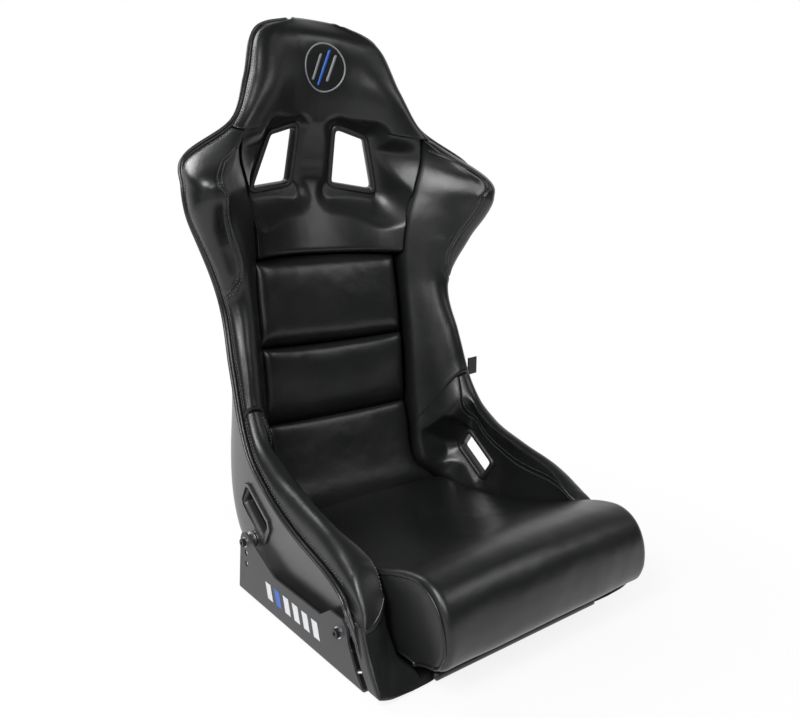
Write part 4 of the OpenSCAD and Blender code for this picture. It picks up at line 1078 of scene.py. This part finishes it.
cover_mesh = block(150, 220, cover_over, cover_under)
COVER_FACE = BVHTree.FromBMesh(cover_mesh)
cover = new_piece("head_panel", cover_mesh, VINYL)
for _, side in SIDES:
    cut(cover, shoulder_tool(side, BEZEL_WALL + FIT_GAP))
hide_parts("head_cover")

HEM_START = (WING_END - COVER_START) / (LAST - COVER_START) + 0.01
for left in (False, True):
    for mm in HEM_ROWS:
        u = 1 - mm / COVER_HALF / 2 if left else mm / COVER_HALF / 2
        add_stitches(hem, [(cover_over(u, v), outward(cover_over, cover_under, u, v, 0.004, 0.004))
                           for v in (mix(HEM_START, 0.80, i / 80) for i in range(81))])
stitches = new_piece("hem_stitches", hem, THREAD_PAINTED_SHEEN)


# ---- Shoulder bezels: a soft rounded flange over the cover and a short liner into the slot, with a
# ---- wide ring behind the shell that the screws pull against. ----

def plastic():
    f = Finish("satin_plastic")
    spark, cloud = f.noise(900.0, 2.0), f.noise(20.0, 2.0)
    return f.surface(Base_Color=f.ramp(cloud, 0.3, (0.012, 0.012, 0.013), 0.7, (0.018, 0.018, 0.019)),
                     Roughness=spark * 0.1 + cloud * 0.1 + 0.3, Normal=f.bump(spark, 0.15, 0.0002))


PLASTIC = plastic()


def ring(name, outline, radius, profile, place, heights=None):
    """A moulded ring: profile is (out from the outline, up) in mm, swept round the outline.

    The outline's points are raised by heights, where they are given, unless up is ("at", height).
    """
    rings = [rounded(grown(outline, g), radius + max(g, -radius + 1)) for g, _ in profile]
    n, m = len(profile), len(rings[0])

    def form(u, v):
        i, j = int(round(u * n)) % n, int(round(v * m)) % m
        up = profile[i][1]
        up = up[1] if isinstance(up, tuple) else up + (heights[j] if heights else 0.0)
        return place @ (Vector((*rings[i][j], up)) * MM)

    return new_piece(name, shaped_grid(n, m, form, WELD), PLASTIC)


LINER_DEEP = 11
BEZEL = [(0, -LINER_DEEP), (0, -6), (0, -1.5), (0.5, 0.8), (1.6, 2.6), (3.2, 3.8), (5.2, 4.3), (7.2, 3.9), (8.7, 2.7),
         (9.5, 1.0), (9.5, -0.2), (6, -0.2), (2.6, -0.2), (2.6, -6), (2.6, -LINER_DEEP)]
probe = bmesh.new()
probe.from_mesh(shell.data)
SHELL_FACE = BVHTree.FromBMesh(probe)
probe.free()


def behind(place, p):
    """How far behind the slot's plane the back of the shell is, in mm, at a point of the plane."""
    start, ahead = place @ (Vector((p[0], p[1], -90)) * MM), (place.to_3x3() @ Vector((0, 0, 1)))
    hit = SHELL_FACE.ray_cast(start, ahead)
    return -90 + (hit[3] / MM if hit[0] is not None else 60)


for word, side in SIDES:
    place = sided(SHOULDER_PLACE, side)
    bezel = ring(f"slot_bezel_{word}", SHOULDER_OUTLINE, SHOULDER_ROUND, BEZEL, place)
    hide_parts(f"shoulder_bezel_{word}")
    depths = [behind(SHOULDER_PLACE, p) for p in rounded(grown(SHOULDER_OUTLINE, 30), SHOULDER_ROUND + 30)]
    back = sum(depths) / len(depths)
    inside = BEZEL_WALL + FIT_GAP + max(-back - 6, 4) * SHOULDER_FLARE
    section = [(inside + out, back - down) for out, down in ((0, 2.4), (0, 0.4), (14, 0.4), (14, 2.4))]
    back_ring = ring(f"slot_ring_{word}", SHOULDER_OUTLINE, SHOULDER_ROUND, section, place)
    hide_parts(f"shoulder_ring_{word}")


# ---- Lap bezels: the same moulding, clipped through the trim panel and the wall of the pan. Its
# ---- flange follows the panel's curve, and its liner ends past the shell. ----

LAP_WALL = LAP_PLACE.to_3x3() @ Vector((0, 0, 1))


def panel_height(p):
    """How high the trim panel stands over the slot's plane at a point of it, or None past the panel."""
    start = LAP_PLACE @ (Vector((p[0], p[1], 0)) * MM)
    far = max((start - LAP_WALL * 0.2, start + LAP_WALL * 0.2), key=lambda q: -abs(q.x))
    ahead = LAP_WALL if (start - far).dot(LAP_WALL) > 0 else -LAP_WALL
    hit = PANEL_FACE.ray_cast(far, ahead)
    return None if hit[0] is None else (hit[0] - start).dot(LAP_WALL) / MM


LAP_HEIGHT = [panel_height(p) for p in rounded(grown(LAP_OUTLINE, 5), LAP_ROUND + 5)]
known = [h for h in LAP_HEIGHT if h is not None]
LAP_HEIGHT = [h if h is not None else sum(known) / len(known) for h in LAP_HEIGHT]
for _ in range(12):
    LAP_HEIGHT = [(LAP_HEIGHT[i - 1] + 2 * h + LAP_HEIGHT[(i + 1) % len(LAP_HEIGHT)]) / 4
                  for i, h in enumerate(LAP_HEIGHT)]
IN = 1 if LAP_HEIGHT[0] > 0 else -1
OUTER = -IN * (SHELL_WALL + 1.5)
LAP_BEZEL = [(0, ("at", OUTER)), (0, -2.0 * IN), (0, 1.5 * IN), (0.8, 3.2 * IN), (2.4, 4.4 * IN), (4.6, 4.9 * IN),
             (6.8, 4.4 * IN), (8.6, 2.8 * IN), (9.5, 0.8 * IN), (9.5, -0.6 * IN), (6, -0.6 * IN), (2.6, -0.6 * IN),
             (2.6, ("at", OUTER))]
for word, side in SIDES:
    bezel = ring(f"lap_slot_bezel_{word}", LAP_OUTLINE, LAP_ROUND, LAP_BEZEL, sided(LAP_PLACE, side), LAP_HEIGHT)
    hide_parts(f"lap_bezel_{word}")


# ---- Seat cushion: a loose foam cushion in vinyl with a thick front roll. Its flat end faces are
# ---- sewn in with a piping cord. ----

CUSHION_BACK_Z, ROLL_Z, ROLL_REACH, ROLL_UNDER = 86, 156, 60, 48
CUSHION_EDGE, STRIP_T = 11, 2
UNDER_Z = 17 + 2 * FIT_GAP + STRIP_T + FIT_GAP
# The cushion lies a little to the left; how far its front roll stands out at its right and left ends
CUSHION_OFF, ROLL_END = 4, (-3, 5)


def spline(points, n):
    """A smooth closed line through points, as n points."""
    out, count = [], len(points)
    for k in range(n):
        x = k / n * count
        i, u = int(x) % count, x - int(x)
        p = [points[(i + j) % count] for j in (-1, 0, 1, 2)]
        out.append(tuple(0.5 * (2 * b + (c - a) * u + (2 * a - 5 * b + 4 * c - d) * u * u
                                + (3 * b - a - 3 * c + d) * u * u * u) for a, b, c, d in zip(*p)))
    return out


def cushion_outline(lift):
    reach, z = ROLL_REACH, UNDER_Z
    line = [(398, z + 46), (366, z + 28 + lift * 0.4), (330, z + 10 + lift * 0.8), (290, z + lift),
            (150, z + lift), (16, z + lift)]
    line += [bezier(((2, ROLL_UNDER - 16), (-14, ROLL_UNDER - 6), (-30, ROLL_UNDER - 4),
                     (-reach * 0.7, ROLL_UNDER)), i / 5) for i in range(6)]
    line += [bezier(((-reach * 0.7, ROLL_UNDER), (-reach * 1.1, ROLL_UNDER + 12),
                     (-reach * 1.12, ROLL_Z - 6), (-reach * 0.1, ROLL_Z)), i / 9) for i in range(1, 10)]
    line += [bezier(((-reach * 0.1, ROLL_Z), (reach * 1.3, ROLL_Z + 2), (130, CUSHION_BACK_Z - 4),
                     (392, CUSHION_BACK_Z - 2)), i / 10) for i in range(1, 11)]
    return line + [(405, CUSHION_BACK_Z - 7)]


RING = 200
# Where the cushion's flat end faces start, as a share of its half width, and the middle they close on
FLANK, FLANK_MIDDLE = 0.86, (150, 66)


@lru_cache(maxsize=None)
def cushion_ring(x):
    """Points round the cushion, x mm from its middle."""
    half, r = CUSHION_W / 2, CUSHION_EDGE
    x = min(abs(x), half)
    e = max(x - (half - r), 0) / r
    inset = r * (1 - sqrt(max(1 - e * e, 0))) * 0.6
    lift, crown = 16 * (x / half) ** 6, 5 * (1 - (x / half) ** 2)
    line = []
    for p in cushion_outline(lift):
        up = p[1] > ROLL_UNDER + 20
        line.append((p[0] + (0 if p[0] > 10 else inset) - (inset if p[0] > 380 else 0),
                     p[1] + (crown - inset if up else inset * 0.3)))
    return spline(line, RING)


def cushion_form(u, v):
    half = CUSHION_W / 2
    s = 2 * v - 1
    flank = max(abs(s) - FLANK, 0) / 0.14
    x = half * (abs(s) / FLANK if flank == 0 else 1.0)
    p = cushion_ring(round(x, 4))[int(round(u * RING)) % RING]
    shrink = 1 - flank
    y, z = (mix(middle, edge, shrink) for middle, edge in zip(FLANK_MIDDLE, p))
    bulge = 1.2 * (1 - shrink ** 6) + ROLL_END[s > 0] * (1 - smooth(y, 0, 80)) * smooth(abs(s), 0.5, FLANK)
    co = Vector(((x + bulge) * (1 if s > 0 else -1) + CUSHION_OFF, y + SHIFT, z)) * MM
    soft = creased(co, 12, 1.5, 40, 0.4) * MM * smooth(half - x, 2, 30)
    out = Vector((0, co.y - (FLANK_MIDDLE[0] + SHIFT) * MM, co.z - FLANK_MIDDLE[1] * MM)).normalized()
    return co - out * soft


cushion = new_piece("loose_cushion", shaped_grid(RING, 150, cushion_form, 10 * WELD), VINYL)
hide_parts("seat_cushion")
for word, side in SIDES:
    cord = new_piece(f"cushion_piping_{word}", tube(
        [Vector(((CUSHION_W / 2 + 0.3 + ROLL_END[side > 0] * (1 - smooth(p[0], 0, 80))) * side + CUSHION_OFF,
                 p[0] + SHIFT, p[1])) * MM for p in cushion_ring(CUSHION_W / 2)], 1.8, loop=True), VINYL)


# ---- Printing, badge and loop tag: plain shapes only. Slanted bars are printed on both brackets, a
# ---- ring with bars is sewn on the head, and a bare woven loop is sewn into the left edge. ----

def ink(name, colour):
    f = Finish(name)
    cloud = f.noise(300.0, 2.0)
    return f.surface(Base_Color=f.ramp(cloud, 0.3, tuple(c * 0.93 for c in colour), 0.7, colour),
                     Roughness=cloud * 0.1 + 0.35, Normal=f.bump(cloud, 0.1, 0.0002))


WEBBING = woven("black_webbing", "TexChecker", 1400.0, (0.010, 0.010, 0.011), (0.018, 0.018, 0.019), 0.4,
                (0.05, 0.6), out=1)
TAG_OUT, TAG_BEND, TAG_T, TAG_TURN = 27.5, 0.8, 0.7, radians(14)
TAG_LONG = 2 * TAG_OUT + pi * TAG_BEND
tag_low, tag_high = (Vector(p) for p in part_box("loop_tag"))
tag_root = Vector((tag_low.x + 1.4 * MM, tag_low.y + 1.2 * MM, tag_low.z))
tag_ahead = Vector((cos(TAG_TURN), sin(TAG_TURN), 0))
tag_over = Vector((-sin(TAG_TURN), cos(TAG_TURN), 0))


def tag_face(u, v, lift):
    """The strip goes out from the edge, over its fold and back: u is across it and v along it."""
    s = v * TAG_LONG
    a = min(max((s - TAG_OUT) / TAG_BEND, 0), pi)
    reach = s if s < TAG_OUT else (TAG_LONG - s if a == pi else TAG_OUT)
    r = TAG_BEND + lift
    out, side_off = reach + r * sin(a), r * cos(a)
    height = mix(tag_low.z, tag_high.z, u) - 0.8 * MM * sin(pi * v) * (1 if u > 0.5 else 0.4)
    co = tag_root + (tag_ahead * out + tag_over * side_off) * MM
    return Vector((co.x, co.y, height))


tag = new_piece("folded_tag", block(10, 60, lambda u, v: tag_face(u, v, TAG_T / 2),
                                    lambda u, v: tag_face(u, v, -TAG_T / 2)), WEBBING)
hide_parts("loop_tag")

strip_low, strip_high = (Vector(p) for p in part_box("cushion_strips"))
for word, y in (("front", strip_low.y), ("rear", strip_high.y - 0.05)):

    def strip(u, v, high):
        return Vector((mix(strip_low.x, strip_high.x, u), y + 0.05 * v,
                       (strip_high.z if high else strip_low.z) + noise.noise(Vector((u * 30, v * 9, 0))) * 0.1 * MM))

    hook = new_piece(f"hook_strip_{word}", block(40, 12, lambda u, v: strip(u, v, True),
                                                 lambda u, v: strip(u, v, False)), WEBBING)
    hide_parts("cushion_strips")

WHITE_INK, BLUE_INK = ink("white_ink", (0.62, 0.63, 0.65)), ink("blue_ink", (0.02, 0.10, 0.42))
SILVER_THREAD = ink("silver_thread", (0.20, 0.205, 0.215))


def on_cover(across_mm, up_mm):
    """The place and normal of the head cover in front of a point of the badge."""
    start = Vector((across_mm + 4, 0, 0)) * MM + Vector((0, -0.3, 0.822 + up_mm * MM))
    hit = COVER_FACE.ray_cast(start, Vector((0, 1, 0)))
    return hit[0], (hit[1] if hit[1].y < 0 else -hit[1])


def raised_band(name, material, n, course, loop=False):
    """A raised band of thread on the cover: course(k, g) goes along it and, with g -1 to 1, across it."""
    profile = [(-1, 0.15), (-0.8, 0.8), (0, 1.15), (0.8, 0.8), (1, 0.15), (0, -0.4)]
    m = len(profile)

    def form(u, v):
        k = int(round(v * n)) % (n if loop else n + 1)
        g, up = profile[int(round(u * m)) % m] if loop or k not in (0, n) else (0, 0.3)
        co, normal = on_cover(*course(k / n, g))
        return co + normal * up * MM

    band = new_piece(name, shaped_grid(m, n, form, WELD), material)


raised_band("badge_ring", SILVER_THREAD, 120, lambda k, g: (
    (38 + g * 1.5) * cos(2 * pi * k), (38 + g * 1.5) * sin(2 * pi * k)), loop=True)
for number, high in enumerate((22, 30, 22)):
    raised_band(f"badge_bar_{number}", BLUE_INK if number == 1 else SILVER_THREAD, 24, lambda k, g: (
        (number - 1) * 14 + mix(-high, high, k) * 0.35 + g * 2.6, mix(-high, high, k)))

# Each printed bar is 0.25 mm thick, 15 mm long and 24 mm high, and leans forward by 7 mm.
for word, side in SIDES:
    low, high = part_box(f"side_bracket_{word}")
    face_x = high[0] if side > 0 else low[0]
    for name, places, material in (("white", (0, 1, 2, 3, 5), WHITE_INK), ("blue", (4,), BLUE_INK)):
        bm = bmesh.new()
        for k in places:
            bmesh.ops.create_cube(bm, size=1, matrix=Matrix((
                (0.00025, 0, 0, face_x + side * 0.000155), (0, 0.015, 0.007, -0.101 + k * 0.026),
                (0, 0, 0.024, 0.036), (0, 0, 0, 1))))
        bars = new_piece(f"bracket_print_{name}_{word}", bm, material, False)


# ---- Carried-over CAD pieces: powder-coated brackets, black bolts, zinc washers and inserts, the
# ---- gelcoat rings of the lap slots and plastic spacers get their finishes. ----

def steel(name, low, high, rough, metallic):
    f = Finish(name)
    spark, cloud = f.noise(1200.0, 2.0), f.noise(14.0, 3.0)
    return f.surface(Base_Color=f.ramp(cloud, 0.3, low, 0.7, high), Metallic=metallic,
                     Roughness=spark * 0.1 + cloud * 0.08 + rough, Normal=f.bump(spark, 0.2, 0.0002))


POWDER = steel("grey_powder_coat", (0.028, 0.028, 0.030), (0.035, 0.035, 0.037), 0.36, 0.0)
BLACK_STEEL = steel("black_oxide", (0.02, 0.02, 0.022), (0.035, 0.035, 0.037), 0.28, 0.6)
ZINC = steel("zinc_plate", (0.55, 0.56, 0.58), (0.68, 0.69, 0.70), 0.2, 1.0)
finishes = {"side_bracket": POWDER, "lap_ring": SHELL_FINISH, "bracket_bolts": BLACK_STEEL,
            "bracket_washers": ZINC, "shell_inserts": ZINC}
for name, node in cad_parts.items():
    node.data.materials.clear()
    node.data.materials.append(next((made for start, made in finishes.items() if name.startswith(start)), PLASTIC))
